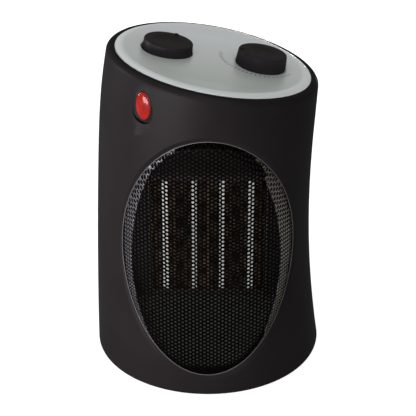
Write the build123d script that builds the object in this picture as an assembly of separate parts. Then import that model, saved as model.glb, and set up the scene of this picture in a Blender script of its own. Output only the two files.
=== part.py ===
"""Upright ceramic fan heater: a leaning barrel with a sloped control panel, built piece by piece.

Millimetres, +Z up, front face towards -Y. The origin is the middle of the base, on the floor.
"""
from build123d import *
from math import atan2, cos, radians, sin, sqrt
import os

os.makedirs("parts", exist_ok=True)

# ---- barrel ------------------------------------------------------------------------------
floor_gap = 2.0            # floor to the lower edge of the barrel
waist_radius = 78.15       # narrowest plain radius, at neck_height
skirt_flare = 8.0          # extra radius where the barrel meets the floor
neck_height = 175.0
shoulder_tuck = 3.1        # radius lost between the neck and the top of the barrel
barrel_top = 257.0         # height that the barrel surface runs to before the top is cut off
bow_depth = 3.5            # how far the centre line bows to the left
bow_start = 6.0            # the centre line leaves the axis at this height
bow_height = 191.0         # and crosses it again this far above
wall = 2.5
base_edge_radius = 4.0
base_lip = 4.2             # width of the inward lip that the base plate rests on
seam_y = 12.0              # plane where the front and rear shells meet
loft_steps = 8             # sections along the barrel, between its ends
far = 200.0                # cutting tools reach this far, beyond every piece
soft_edge = 1.0            # rounding of small moulded and pressed edges

# ---- sloped top and its panel ------------------------------------------------------------
top_height = 232.5         # top surface above the floor, on the axis
top_slope = 10.0           # degrees, downhill to the right
crown_radius = 3600.0      # the top is crowned along its slope
shoulder_radius = 4.6      # rounded edge between side and top
rim_inset = 5.4            # barrel surface to the panel opening
panel_gap = 0.3
panel_rise = 1.25          # how far the panel stands above the rim
ledge_depth = 1.75         # rim down to the ledge that the panel sits on
ledge_width = 4.0
deck_depth = 7.0           # rim down to the underside of the ledge
panel_ring = 8.5           # flat ring round the panel's shallow dish
dish_depth = 0.8

# ---- knobs -------------------------------------------------------------------------------
knob_middle = 4.45         # middle of the knob pair, along the slope from the axis
knob_spacing = 67.5
knob_set_back = 4.8        # knobs lie this far behind the axis
knob_base_radius = 18.3
knob_top_radius = 17.5
knob_height = 9.6
knob_wall = 2.0
knob_roof = 3.0
knob_edge = 0.8            # rounding round the knob's face
knob_boss_radius = 6.0
knob_dish_radius = 11.5
knob_dish_depth = 1.0
selector_top = 6.2         # knob face above the rim, selector
thermostat_top = 9.15      # knob face above the rim, thermostat
selector_mark = 70.0       # degrees, where the raised mark points at rest
thermostat_mark = 180.0
mark_radius = 1.5
mark_inset = 2.25          # edge of the face to the middle of the mark
mark_height = 0.7
well_lip = 1.0             # well wall clear of the knob's skirt
well_draft = 1.2           # how much wider the well is at its mouth
knob_float = 0.6           # knob skirt above the well's floor
well_floor = 2.1           # panel thickness under the well

# ---- controls under the panel ------------------------------------------------------------
shaft_radius = 3.0
running_gap = 0.05         # radial clearance of a shaft in a bearing bore
press_gap = 0.02           # radial clearance drawn between pressed pieces
shaft_grip = 7.0           # length of shaft inside a knob
shaft_hole_gap = 1.0       # panel hole clear of a shaft
seat_drop = 6.6            # rim down to the seats that the controls hang from
switch_width = 30.0
switch_height = 17.0
switch_corner = 2.0
switch_tab_x = 8.0
switch_tab_y = 10.0
thermostat_width = 34.0
thermostat_depth = 22.0
thermostat_height = 8.0
blade_width_small = 5.0
blade_thickness_small = 0.5
bimetal_drop = 16.0
bimetal_x = 7.5            # leaves to the left of the thermostat's shaft
contact_x = 3.5
contact_drop = 13.0
contact_tip = 3.0
control_screw_offset = 12.5

# ---- air outlet and grille ---------------------------------------------------------------
outlet_half_width = 61.0
outlet_half_height = 90.5
outlet_height = 109.6
outlet_bevel = 3.8         # width of the bevel round the outlet, along the barrel's surface
outlet_bevel_depth = 1.6
grille_sheet = 0.8
grille_gap = 0.5           # grille wall clear of the outlet's edge
grille_side_inset = 7.0    # outlet's edge to the face's edge, at the sides
grille_end_inset = 6.5     # the same at the top and the bottom
grille_side_draft = 0.36   # run of the side wall per millimetre of depth, at the sides
grille_end_draft = 1.6     # the same at the top and the bottom
grille_shift = -1.4        # the face sits this far to the left, where the barrel bows
grille_reach_front = 8.0   # the wall's plug runs this far in front of the face's ends
grille_reach_back = 42.0
grille_bow = 118.0         # radius of the grille's face, seen from above
grille_proud = 1.4         # grille face in front of the barrel surface
grille_flange = 5.0        # flange width behind the shell
grille_column = 9.2        # pitch of the openings in the face, across
grille_row = 20.6          # the same, upwards
grille_bar = 2.4           # metal left between two openings
grille_border = 2.0        # metal left round them, up to the face's edge
retainer_width = 4.0
retainer_thickness = 1.5
lining_gap = 0.2           # pieces that lie against the inside of the shell

# ---- heating element ---------------------------------------------------------------------
element_height = 113.5     # middle of the element, and the fan axis
element_front = -45.0
bar_pitch = 20.4
bar_count = 4
bar_width = 4.0
bar_length = 87.8
bar_depth = 14.0
bar_wall = 0.8
stone_count = 4            # ceramic stones in each bar
stone_gap = 0.6
separator = 0.6            # plate between two fin strips
fin_gap = 0.05
fin_period = 2.7
fin_sheet = 0.3
side_plate = 1.9
end_cap = 4.0
end_cap_lap = 1.0          # end caps stand this far beyond the bars, front and back
terminal_width = 6.3
terminal_sheet = 0.8
terminal_reach = 9.0

# ---- duct and deflectors -----------------------------------------------------------------
duct_gap = 0.4             # element clear of the duct
duct_wall = 2.0
bulkhead = 2.0
bulkhead_half_width = 56.0
bulkhead_half_height = 62.0
duct_back = -4.0           # where the square duct meets the fan ring
fan_ring_radius = 49.0
fan_ring_wall = 3.0
fan_ring_back = 26.0
ear_radius = 4.0
ear_offset = 54.0          # radius of the fan ring's screw ears
leg_wall = 2.5
leg_front = -36.0
leg_back = 18.0
leg_foot = 12.0
leg_foot_sheet = 3.0
deflector_sheet = 1.5
deflector_reach = 30.0     # how far the deflectors run forward of the bulkhead
deflector_fall = 42.0      # how far the lower deflector drops on its way forward
deflector_rise = 32.0      # how far the upper deflector climbs on its way forward

# ---- fan and motor -----------------------------------------------------------------------
fan_tip_radius = 46.0
hub_radius = 15.0
hub_front = 4.0
hub_back = 22.0
hub_wall = 2.0
hub_boss_radius = 5.0
blade_count = 7
blade_chord = 25.0
blade_pitch = 36.0
blade_thickness = 1.6
motor_shaft_radius = 1.6
motor_shaft_front = 5.0
motor_shaft_back = 65.0
mount_plate = 3.0
mount_screw_grip = 9.0
mount_disc_radius = 25.0
mount_arm = 8.0
mount_arm_count = 4
bracket_sheet = 2.0
bracket_width = 14.0
bracket_leg = 6.0
bracket_half_length = 25.0
bracket_post_radius = 3.5
motor_screw_x = 20.0
bearing_radius = 4.5
bearing_length = 5.0
cup_wall = 1.5
stack_depth = 16.0
stack_half_width = 26.0
stack_above = 22.0
stack_below = 42.0
stack_corner = 4.0
rotor_radius = 12.4
air_gap = 0.5
coil_window_low = 30.0     # window below the rotor, measured down from the axis
coil_window_high = 17.0
coil_half_width = 15.0
coil_wall = 7.0
coil_corner = 4.2
coil_room = 2.0            # window in the stack wider than the coil, each side

# ---- base --------------------------------------------------------------------------------
base_recess = 2.0          # barrel's lower edge up to the base plate
base_sheet = 3.0
foot_radius = 8.0
foot_circle = 62.0
foot_angle = 45.0
foot_count = 4
base_boss_radius = 5.0
base_boss_circle = 77.5
base_boss_angle = 40.0     # bosses lie this far either side of straight ahead and straight back
base_boss_height = 20.0
stand_boss = 7.0           # bosses on the base plate under the duct's feet

# ---- fasteners ---------------------------------------------------------------------------
screw_radius = 1.9
screw_head_radius = 3.6
screw_head_height = 2.0
screw_gap = 0.3            # clearance hole round a screw
thread_gap = 0.03          # thread drawn as a plain cylinder, this far off its boss
pilot_spare = 1.0          # a pilot hole runs this much deeper than its screw
head_rounding = 0.45       # of the head's height
recess_length = 1.1        # of the head's radius
recess_width = 0.4         # of the screw's radius
small_screw_radius = 1.2
small_head_radius = 2.3
small_head_height = 1.3
housing_boss_inset = 9.5   # barrel surface to the middle of a housing screw
housing_boss_radius = 4.6
housing_boss_low = 30.0
housing_boss_high = 190.0
housing_boss_length = 37.0
housing_screw_length = 24.0
housing_web = 6.0          # thickness of boss under a housing screw's head

# ---- neon light --------------------------------------------------------------------------
lens_angle = 36.3          # degrees left of straight ahead
lens_height = 220.2
lens_half_width = 6.2
lens_half_height = 9.9
lens_bulge = 1.9
lens_depth = 5.0
lens_gap = 0.1
pocket_half_width = 8.6
pocket_half_height = 13.6
pocket_drop = 3.2
pocket_depth = 1.5
lamp_radius = 3.0
lamp_length = 13.0
holder_wall = 1.2

# ---- intake, cord entry and safety parts -------------------------------------------------
slot_width = 3.6
slot_length = 38.0
slot_pitch = 7.6
slot_columns = 11
slot_row_gap = 6.0
cord_height = 26.0
cord_radius = 3.5
bushing_wall = 2.0
bushing_flange = 2.0
bushing_tail = 6.0
bushing_gap = 1.0          # flange clear of the shell, which curves away from it
cutout_radius = 8.0
cutout_height = 7.0
cutout_x = -20.0
fuse_radius = 2.0
fuse_length = 12.0
fuse_lead_radius = 0.5
fuse_x = 20.0
safety_y = -25.0
tip_x = -24.0
tip_y = 44.0
plunger_radius = 4.0
plunger_travel = 4.0
plunger_collar = 6.0
spindle_radius = 2.0
guide_wall = 2.0
guide_height = 24.0
spring_wire = 0.5
spring_turns = 5
microswitch_size = (20.0, 6.5, 10.0)
block_x = 26.0
block_y = 46.0
block_size = (30.0, 16.0, 14.0)
block_pitch = 9.0
block_floor = 2.0          # plastic under the block's screws, and the depth that they sit below its top


# ---- places worked out from the sizes above ----------------------------------------------
base_low = floor_gap + base_recess
base_high = base_low + base_sheet
panel_top = panel_rise - dish_depth
inner_skin = wall + grille_sheet + retainer_thickness + 3 * lining_gap
lens_seat = pocket_depth / 2
element_back = element_front + bar_depth
element_half_height = bar_length / 2 + end_cap
strip_width = (bar_pitch - bar_width - separator) / 2
element_half_width = (bar_count - 1) / 2 * bar_pitch + bar_width / 2 + strip_width + side_plate
duct_half_width = element_half_width + duct_gap
duct_half_height = element_half_height + duct_gap
bulkhead_front = element_front - end_cap_lap
mount_back = fan_ring_back + mount_plate
stack_front = mount_back + bracket_sheet + bracket_leg
stack_back = stack_front + stack_depth
stand_height = base_high + stand_boss
top_frame = Location((0, 0, top_height), (0, top_slope, 0))
selector_place = top_frame * Pos(knob_middle - knob_spacing / 2, knob_set_back, 0)
thermostat_place = top_frame * Pos(knob_middle + knob_spacing / 2, knob_set_back, 0)
fan_place = Pos(0, 0, element_height)


# ---- shared shapes -----------------------------------------------------------------------
def barrel_radius(z):
    """Radius of the barrel's surface at height z."""
    if z < neck_height:
        return waist_radius + skirt_flare * ((neck_height - z) / neck_height) ** 2
    return waist_radius - shoulder_tuck * ((z - neck_height) / (barrel_top - neck_height)) ** 2


def barrel_lean(z):
    """Sideways place of the barrel's centre line at height z."""
    share = (z - bow_start) / bow_height
    return -4 * bow_depth * share * (1 - share)


def barrel_stations():
    return [barrel_top * i / loft_steps for i in range(loft_steps + 1)]


def barrel(inset):
    """The solid barrel, uncut at the top, with its surface moved inwards by inset."""
    rings = [Pos(barrel_lean(z), 0, z) * Circle(barrel_radius(z) - inset) for z in barrel_stations()]
    return loft(rings)


def below_top(offset):
    """Everything under the crowned, sloped top, moved by offset along its normal."""
    roller = Cylinder(crown_radius + offset, 4 * waist_radius, rotation=(90, 0, 0))
    return top_frame * Pos(0, 0, -crown_radius) * roller


def slab(low, high):
    """A wide plate between two heights."""
    return Pos(0, 0, (low + high) / 2) * Box(2 * far, 2 * far, high - low)


def rod(radius, start, end):
    """A cylinder along Z from start to end."""
    return Pos(0, 0, (start + end) / 2) * Cylinder(radius, end - start)


def rod_y(radius, start, end):
    """A cylinder along Y from start to end."""
    return Pos(0, (start + end) / 2, 0) * Cylinder(radius, end - start, rotation=(90, 0, 0))


def block(x_range, y_range, z_range):
    """A box between three pairs of limits."""
    size = [limits[1] - limits[0] for limits in (x_range, y_range, z_range)]
    middle = [(limits[1] + limits[0]) / 2 for limits in (x_range, y_range, z_range)]
    return Pos(*middle) * Box(*size)


def front_plane(y, z):
    """Plane that faces the front, its X along +X and its Y up."""
    return Plane(origin=(0, y, z), x_dir=(1, 0, 0), z_dir=(0, -1, 0))


def oval(half_width, half_height, start, end):
    """A prism of elliptic section along Y, on the outlet's middle."""
    section = front_plane(start, outlet_height) * Ellipse(half_width, half_height)
    return extrude(section, amount=start - end)


def screw(radius, length, head_radius, head_height):
    """A pan-head screw pointing down, its head resting on z = 0."""
    head = rod(head_radius, 0, head_height)
    head = fillet(head.edges().sort_by(Axis.Z)[-1], head_height * head_rounding)
    recess_depth = head_height / 2
    recess_place = Pos(0, 0, head_height - recess_depth / 2)
    cross = recess_place * Box(head_radius * recess_length, radius * recess_width, recess_depth)
    return head + rod(radius, -length, 0) - cross - Rot(0, 0, 90) * cross


def big_screw(length):
    return screw(screw_radius, length, screw_head_radius, screw_head_height)


def small_screw(length):
    return screw(small_screw_radius, length, small_head_radius, small_head_height)


def at(places, shape):
    """Copies of one shape at several places."""
    return [place * shape for place in places]


def joined(solids):
    """Separate solids as one group."""
    return Compound(children=list(solids))


def save(name, shape):
    export_step(shape, f"parts/{name}.step")


# ---- shells ------------------------------------------------------------------------------
def housing_boss_spots():
    spots = []
    for z in (housing_boss_low, housing_boss_high):
        reach = barrel_radius(z) - housing_boss_inset
        spots += [(barrel_lean(z) + side * reach, z) for side in (-1, 1)]
    return spots


def base_boss_spots():
    turns = [-90 - base_boss_angle, -90 + base_boss_angle, 90 - base_boss_angle, 90 + base_boss_angle]
    return [(base_boss_circle * cos(radians(t)), base_boss_circle * sin(radians(t))) for t in turns]


def whole_shell():
    """The barrel's skin with its rounded rim and the ledge for the panel, before it is split."""
    outer = barrel(0) & slab(floor_gap, barrel_top) & below_top(0)
    outer = fillet(outer.edges().sort_by(Axis.Z)[-1], shoulder_radius)
    outer = fillet(outer.edges().sort_by(Axis.Z)[0], base_edge_radius)
    cavity = barrel(wall) & below_top(-deck_depth) & slab(base_low, barrel_top)
    mouth = barrel(base_lip) & slab(0, base_low)
    opening = barrel(rim_inset) - below_top(-ledge_depth)
    ledge_hole = barrel(rim_inset + ledge_width) - below_top(-deck_depth - 1)
    return outer - [cavity, mouth, opening, ledge_hole]


def bosses(front):
    """Screw bosses that belong to one shell, trimmed to the barrel's surface."""
    start = seam_y - housing_boss_length if front else seam_y
    end = seam_y if front else seam_y + housing_boss_length
    posts = [Pos(x, 0, z) * rod_y(housing_boss_radius, start, end) for x, z in housing_boss_spots()]
    for x, y in base_boss_spots():
        if (y < 0) == front:
            posts.append(Pos(x, y, 0) * rod(base_boss_radius, base_high, base_high + base_boss_height))
    skin = barrel(wall / 2)
    return [post & skin for post in posts]


def base_pilot_holes():
    depth = base_high + base_boss_height - wall
    return [Pos(x, y, 0) * rod(screw_radius + thread_gap, base_high, depth) for x, y in base_boss_spots()]


def lens_plane(inset):
    """Plane on the barrel's surface at the neon light, facing outwards."""
    turn = radians(lens_angle)
    reach = barrel_radius(lens_height) - inset
    origin = (barrel_lean(lens_height) - reach * sin(turn), -reach * cos(turn), lens_height)
    return Plane(origin=origin, x_dir=(cos(turn), -sin(turn), 0), z_dir=(-sin(turn), -cos(turn), 0))


def lens_pocket():
    """The shallow egg-shaped scoop that the light sits in."""
    scoop = scale(Sphere(1), by=(pocket_half_width, pocket_half_height, pocket_depth))
    return lens_plane(0) * Pos(0, -pocket_drop, 0) * scoop


def lens_hole():
    outline = Ellipse(lens_half_width + lens_gap, lens_half_height + lens_gap)
    return lens_plane(2 * wall + lens_depth) * extrude(outline, amount=4 * wall + lens_depth)


def front_housing(shell):
    front = shell & block((-far, far), (-far, seam_y), (0, 2 * barrel_top))
    front = front - oval(outlet_half_width, outlet_half_height, 0, -2 * waist_radius)
    surface = front.faces().sort_by(SortBy.AREA)[-1]
    lip = surface.inner_wires()[0].edges()
    front = chamfer(lip, outlet_bevel, outlet_bevel_depth, reference=surface)
    pilot = rod_y(screw_radius + thread_gap, seam_y - housing_screw_length, seam_y)
    pilots = [Pos(x, 0, z) * pilot for x, z in housing_boss_spots()]
    front = front + bosses(True)
    return front - [*pilots, *base_pilot_holes(), lens_pocket(), lens_hole()]


def head_seat():
    """Depth of the seat for a housing screw's head, measured along Y."""
    return seam_y + housing_web


def rear_housing(shell):
    rear = shell & block((-far, far), (seam_y, far), (0, 2 * barrel_top))
    shank_hole = rod_y(screw_radius + screw_gap, seam_y, head_seat())
    head_hole = rod_y(screw_head_radius + screw_gap, head_seat(), 2 * waist_radius)
    holes = [Pos(x, 0, z) * (shank_hole + head_hole) for x, z in housing_boss_spots()]
    cord_hole = rod_y(cord_radius + bushing_wall + press_gap, seam_y, 2 * waist_radius)
    holes.append(Pos(0, 0, cord_height) * cord_hole)
    rear = rear + bosses(False)
    return rear - [*holes, *base_pilot_holes(), *intake_slots()]


def intake_slots():
    """Two rows of narrow upright slots behind the fan."""
    shift = (slot_length + slot_row_gap) / 2
    first = -(slot_columns - 1) / 2 * slot_pitch
    outline = front_plane(0, 0) * SlotOverall(slot_length, slot_width, rotation=90)
    tool = Pos(0, 2 * waist_radius, 0) * extrude(outline, amount=1.5 * waist_radius)
    spots = [(first + i * slot_pitch, side * shift) for i in range(slot_columns) for side in (-1, 1)]
    return [Pos(x, 0, element_height + z) * tool for x, z in spots]


def base_plate():
    plate = barrel(wall + panel_gap) & slab(base_low, base_high)
    for x, y in base_boss_spots():
        plate = plate - Pos(x, y, 0) * rod(screw_radius + screw_gap, 0, base_high)
    for x, y in stand_spots():
        plate = plate + Pos(x, y, 0) * rod(base_boss_radius, base_low, stand_height)
        plate = plate - Pos(x, y, 0) * rod(screw_radius + thread_gap, base_high, stand_height)
    return plate - Pos(tip_x, tip_y, 0) * rod(plunger_radius + panel_gap, 0, base_high)


def rubber_feet():
    foot = rod(foot_radius, 0, base_low)
    foot = fillet(foot.edges().sort_by(Axis.Z)[0], soft_edge)
    turns = [foot_angle + 360 / foot_count * i for i in range(foot_count)]
    return joined([Rot(0, 0, turn) * Pos(foot_circle, 0, 0) * foot for turn in turns])


# ---- control panel and knobs -------------------------------------------------------------
def well(face_height):
    """Round recess that a knob turns in, given the height of the knob's face."""
    floor = face_height - knob_height - knob_float
    inner = knob_base_radius + well_lip
    mouth = Pos(0, 0, panel_rise) * Circle(inner + well_draft)
    return loft([Pos(0, 0, floor) * Circle(inner), mouth])


def control_panel():
    edge = rim_inset + panel_gap
    panel = (barrel(edge) & below_top(panel_rise)) - below_top(-ledge_depth)
    panel = panel - (barrel(edge + panel_ring) - below_top(panel_top))
    cup = rod(knob_base_radius + well_lip + well_draft + well_floor, -seat_drop, -ledge_depth / 2)
    panel = panel + [selector_place * cup, thermostat_place * cup]
    pilot = rod(small_screw_radius + thread_gap, -seat_drop, -seat_drop + well_floor)
    for place, face in ((selector_place, selector_top), (thermostat_place, thermostat_top)):
        panel = panel - place * well(face)
        panel = panel - place * rod(shaft_radius + shaft_hole_gap, -2 * seat_drop, panel_rise)
        panel = panel - at(control_screw_places(place), pilot)
    return panel


def control_screw_places(place):
    return [place * Pos(side * control_screw_offset, 0, 0) for side in (-1, 1)]


def knob(mark_angle):
    """Push-on knob, its face at z = 0, with a dished top and one raised mark on the rim."""
    skirt = Solid.make_cone(knob_base_radius, knob_top_radius, knob_height)
    skirt = Pos(0, 0, -knob_height) * skirt
    skirt = fillet(skirt.edges().sort_by(Axis.Z)[-1], knob_edge)
    hollow = Pos(0, 0, -knob_height) * Solid.make_cone(
        knob_base_radius - knob_wall, knob_top_radius - knob_wall, knob_height - knob_roof)
    ball = (knob_dish_radius ** 2 + knob_dish_depth ** 2) / (2 * knob_dish_depth)
    dish = Pos(0, 0, ball - knob_dish_depth) * Sphere(ball)
    boss = rod(knob_boss_radius, -knob_height, -knob_wall)
    bore = rod(shaft_radius + press_gap, -knob_height, -knob_height + shaft_grip)
    mark = Rot(0, 0, mark_angle) * Pos(knob_top_radius - mark_inset, 0, 0)
    mark = mark * rod(mark_radius, -knob_dish_depth, mark_height)
    return skirt - hollow + boss - dish - bore + mark


def control_shaft(face_height, bottom):
    top = face_height - knob_height + shaft_grip
    return rod(shaft_radius, bottom, top)


def control_bore():
    return rod(shaft_radius + running_gap, -3 * seat_drop, 0)


def control_screw_holes():
    """Clearance holes for the two screws that hang a control from its seat."""
    holes = [Pos(side * control_screw_offset, 0, 0) for side in (-1, 1)]
    return [hole * rod(small_screw_radius + screw_gap, -5 * seat_drop, 0) for hole in holes]


def selector_switch():
    """Rotary switch body hung under the panel."""
    low = -seat_drop - switch_height
    half = switch_width / 2
    body = block((-half, half), (-half, half), (low, -seat_drop))
    body = fillet(body.edges().filter_by(Axis.Z), switch_corner)
    return selector_place * (body - [control_bore(), *control_screw_holes()])


def selector_terminals():
    low = -seat_drop - switch_height
    tab = block((-terminal_width / 2, terminal_width / 2), (0, terminal_sheet), (low - terminal_reach, low))
    spots = [(x, y) for x in (-switch_tab_x, switch_tab_x) for y in (-switch_tab_y, switch_tab_y)]
    return joined([selector_place * Pos(x, y, 0) * tab for x, y in spots])


def thermostat_body():
    """Ceramic-based thermostat block hung under the panel."""
    low = -seat_drop - thermostat_height
    half = thermostat_width / 2
    body = block((-half, half), (-thermostat_depth / 2, thermostat_depth / 2), (low, -seat_drop))
    return thermostat_place * (body - [control_bore(), *control_screw_holes()])


def blade(x_place, drop, lean):
    """A leaf hanging from the thermostat block's underside."""
    low = -seat_drop - thermostat_height
    half = blade_width_small / 2
    side = blade_thickness_small / 2
    leaf = block((-side, side), (-half, half), (low - drop, low))
    tip = block((-lean, side), (-half, half), (low - drop, low - drop + blade_thickness_small))
    return thermostat_place * Pos(x_place, 0, 0) * (leaf + tip)


# ---- grille ------------------------------------------------------------------------------
def grille_face(inset):
    """Solid behind the grille's face: bowed across, straight from its top to its bottom."""
    middle = grille_plane(-grille_bow)
    axis = Plane(origin=middle.origin, x_dir=middle.x_dir, z_dir=middle.y_dir)
    return axis * Cylinder(grille_bow - inset, 2 * far)


def grille_plane(forward):
    """Plane through the face's top and bottom ends, moved forwards."""
    low = barrel_radius(outlet_height - outlet_half_height)
    high = barrel_radius(outlet_height + outlet_half_height)
    tilt = atan2(low - high, 2 * outlet_half_height)
    origin = (grille_shift, -(low + high) / 2 - grille_proud, outlet_height)
    plane = Plane(origin=origin, x_dir=(1, 0, 0), z_dir=(0, -cos(tilt), sin(tilt)))
    return plane.offset(forward)


def grille_plug(inset):
    """Block inside the grille's wall, which spreads from the face's edge to the outlet's edge."""
    side_depth = grille_bow - sqrt(grille_bow ** 2 - outlet_half_width ** 2)
    side_sheet = inset * sqrt(1 + grille_side_draft ** 2)
    end_sheet = inset * sqrt(1 + grille_end_draft ** 2)
    sections = []
    for forward in (-grille_reach_back, grille_reach_front):
        side_run = grille_side_draft * (forward + side_depth)
        end_run = grille_end_draft * forward
        width = outlet_half_width - grille_side_inset - side_sheet - side_run
        height = outlet_half_height - grille_end_inset - end_sheet - end_run
        sections.append(grille_plane(forward) * Ellipse(width, height))
    edge = grille_gap + inset
    limit = oval(outlet_half_width - edge, outlet_half_height - edge, 0, -2 * waist_radius)
    return loft(sections, ruled=True) & limit


def grille_openings():
    """Plain grid of openings in the face, those that keep the border to its oval edge."""
    half_width = (grille_column - grille_bar) / 2
    half_height = (grille_row - grille_bar) / 2
    oval_width = outlet_half_width - grille_side_inset - grille_border
    oval_height = outlet_half_height - grille_end_inset - grille_border
    columns = int(oval_width / grille_column)
    rows = int(oval_height / grille_row)
    sides = (-half_width, half_width)
    opening = block(sides, (-2 * waist_radius, -waist_radius / 2), (-half_height, half_height))
    openings = []
    for column in range(-columns, columns + 1):
        for row in range(-rows, rows + 1):
            x = column * grille_column
            z = row * grille_row
            across = (abs(x) + half_width) / oval_width
            upward = (abs(z) + half_height) / oval_height
            if across ** 2 + upward ** 2 < 1:
                openings.append(Pos(grille_shift + x, 0, outlet_height + z) * opening)
    return openings


def lining(inset, thickness):
    """A skin of the barrel's shape."""
    return barrel(inset) - barrel(inset + thickness)


def front_grille():
    inside = wall + lining_gap
    core = grille_face(grille_sheet) & grille_plug(grille_sheet)
    dish = (grille_face(0) & grille_plug(0)) - core - barrel(inside + grille_sheet)
    rim = oval(outlet_half_width + grille_flange, outlet_half_height + grille_flange, 0, -2 * waist_radius)
    flange = (lining(inside, grille_sheet) & rim) - core
    return (dish + flange) - grille_openings()


def grille_retainer():
    inside = wall + lining_gap + grille_sheet
    rim = oval(outlet_half_width + grille_flange, outlet_half_height + grille_flange, 0, -2 * waist_radius)
    inner_width = outlet_half_width + grille_flange - retainer_width
    inner_height = outlet_half_height + grille_flange - retainer_width
    hole = oval(inner_width, inner_height, 0, -2 * waist_radius)
    return (lining(inside, retainer_thickness) & rim) - hole


# ---- heating element ---------------------------------------------------------------------
def bar_places():
    first = -(bar_count - 1) / 2 * bar_pitch
    return [first + i * bar_pitch for i in range(bar_count)]


def strip_places():
    """Left edges of the fin strips: one on each side of every bar."""
    edges = []
    for x in bar_places():
        edges.append(x - bar_width / 2 - strip_width)
        edges.append(x + bar_width / 2)
    return edges


def element_bars():
    half = bar_length / 2
    shell = block((-bar_width / 2, bar_width / 2), (element_front, element_back), (-half, half))
    inner = bar_width / 2 - bar_wall
    room = block((-inner, inner), (element_front + bar_wall, element_back - bar_wall), (-half, half))
    return joined([fan_place * Pos(x, 0, 0) * (shell - room) for x in bar_places()])


def ptc_stones():
    pitch = bar_length / stone_count
    half = bar_width / 2 - bar_wall - fin_gap
    front = element_front + 2 * bar_wall
    back = element_back - 2 * bar_wall
    stone = block((-half, half), (front, back), (-pitch / 2 + stone_gap / 2, pitch / 2 - stone_gap / 2))
    heights = [(i - (stone_count - 1) / 2) * pitch for i in range(stone_count)]
    return joined([fan_place * Pos(x, 0, z) * stone for x in bar_places() for z in heights])


def fin_strip():
    """One folded aluminium strip, its folds stacked up the element."""
    fold_count = int(bar_length / (fin_period / 2)) - 1
    start = -fold_count * fin_period / 4
    left = fin_gap
    right = strip_width - fin_gap
    shift = fin_sheet * (right - left) / (fin_period / 2)
    heights = [start + i * fin_period / 2 for i in range(fold_count + 1)]
    left_edge = [(right - shift if i % 2 else left, z) for i, z in enumerate(heights)]
    right_edge = [(right if i % 2 else left + shift, z) for i, z in enumerate(heights)]
    outline = make_face(Polyline(*right_edge, *reversed(left_edge), close=True))
    front = front_plane(element_front + fin_sheet, 0) * outline
    return extrude(front, amount=-(bar_depth - 2 * fin_sheet))


def heater_fins():
    strip = fin_strip()
    return joined([fan_place * Pos(x, 0, 0) * strip for x in strip_places()])


def fin_separators():
    half = bar_length / 2
    plate = block((-separator / 2, separator / 2), (element_front, element_back), (-half, half))
    middles = [x + bar_pitch / 2 for x in bar_places()[:-1]]
    return joined([fan_place * Pos(x, 0, 0) * plate for x in middles])


def element_sides():
    half = bar_length / 2
    outer = element_half_width
    right = block((outer - side_plate, outer), (element_front, element_back), (-half, half))
    left = block((-outer, side_plate - outer), (element_front, element_back), (-half, half))
    return joined([fan_place * left, fan_place * right])


def element_end_caps():
    low = bar_length / 2
    cap = block((-element_half_width, element_half_width),
                (element_front - end_cap_lap, element_back + end_cap_lap), (low, low + end_cap))
    return joined([fan_place * cap, fan_place * Rot(0, 180, 0) * cap])


def element_terminals():
    middle = (bar_length + end_cap) / 2
    back = element_back + end_cap_lap
    tab = block((-terminal_width / 2, terminal_width / 2), (back, back + terminal_reach),
                (middle - terminal_sheet / 2, middle + terminal_sheet / 2))
    return joined([fan_place * Pos(x, 0, 0) * tab for x in (-bar_pitch, 0, bar_pitch)])


# ---- duct --------------------------------------------------------------------------------
def stand_spots():
    """Screws through the duct's feet into the base plate."""
    x = duct_half_width + duct_wall + leg_foot / 2
    return [(side * x, y) for side in (-1, 1) for y in (leg_front + leg_foot / 2, leg_back - leg_foot / 2)]


def duct_leg(side):
    """Upright side plate with a foot flange, from the base plate to the duct."""
    inner = duct_half_width
    outer = duct_half_width + duct_wall + leg_foot
    ranges = sorted((side * inner, side * (inner + leg_wall)))
    upright = block(ranges, (leg_front, leg_back), (stand_height, element_height - duct_half_height))
    foot_range = sorted((side * inner, side * outer))
    foot = block(foot_range, (leg_front, leg_back), (stand_height, stand_height + leg_foot_sheet))
    return upright + foot


def ear_spots():
    turns = [45 + 90 * i for i in range(4)]
    return [(ear_offset * cos(radians(t)), ear_offset * sin(radians(t))) for t in turns]


def air_duct():
    """Bulkhead, square duct, fan ring and legs in one moulding."""
    outer_x = duct_half_width + duct_wall
    outer_z = duct_half_height + duct_wall
    plate = block((-bulkhead_half_width, bulkhead_half_width), (bulkhead_front, bulkhead_front + bulkhead),
                  (-bulkhead_half_height, bulkhead_half_height))
    tube = block((-outer_x, outer_x), (bulkhead_front, duct_back), (-outer_z, outer_z))
    ring = rod_y(fan_ring_radius + fan_ring_wall, duct_back - bulkhead, fan_ring_back)
    duct = plate + tube + ring
    for x, z in ear_spots():
        duct = duct + Pos(x, 0, z) * rod_y(ear_radius, duct_back - bulkhead, fan_ring_back)
    duct = duct - block((-duct_half_width, duct_half_width), (bulkhead_front, duct_back - bulkhead),
                        (-duct_half_height, duct_half_height))
    duct = duct - rod_y(fan_ring_radius, duct_back - 2 * bulkhead, fan_ring_back)
    pilot_start = fan_ring_back - mount_screw_grip - pilot_spare
    pilot = rod_y(screw_radius + thread_gap, pilot_start, fan_ring_back)
    duct = duct - [Pos(x, 0, z) * pilot for x, z in ear_spots()]
    duct = fan_place * duct + duct_leg(-1) + duct_leg(1)
    foot_hole = rod(screw_radius + screw_gap, stand_height, stand_height + leg_foot_sheet)
    duct = duct - [Pos(x, y, 0) * foot_hole for x, y in stand_spots()]
    return duct & barrel(inner_skin)


def deflector(start_height, change):
    """A sloping plate from the bulkhead forwards, trimmed to the inside of the shell."""
    low = (bulkhead_front - panel_gap, start_height)
    far = (bulkhead_front - deflector_reach, start_height + change)
    outline = Polyline((low[0], low[1]), (far[0], far[1]), (far[0], far[1] + deflector_sheet),
                       (low[0], low[1] + deflector_sheet), close=True)
    face = Plane.YZ * make_face(outline)
    plate = extrude(face, amount=bulkhead_half_width, both=True)
    return plate & barrel(inner_skin)


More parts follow.
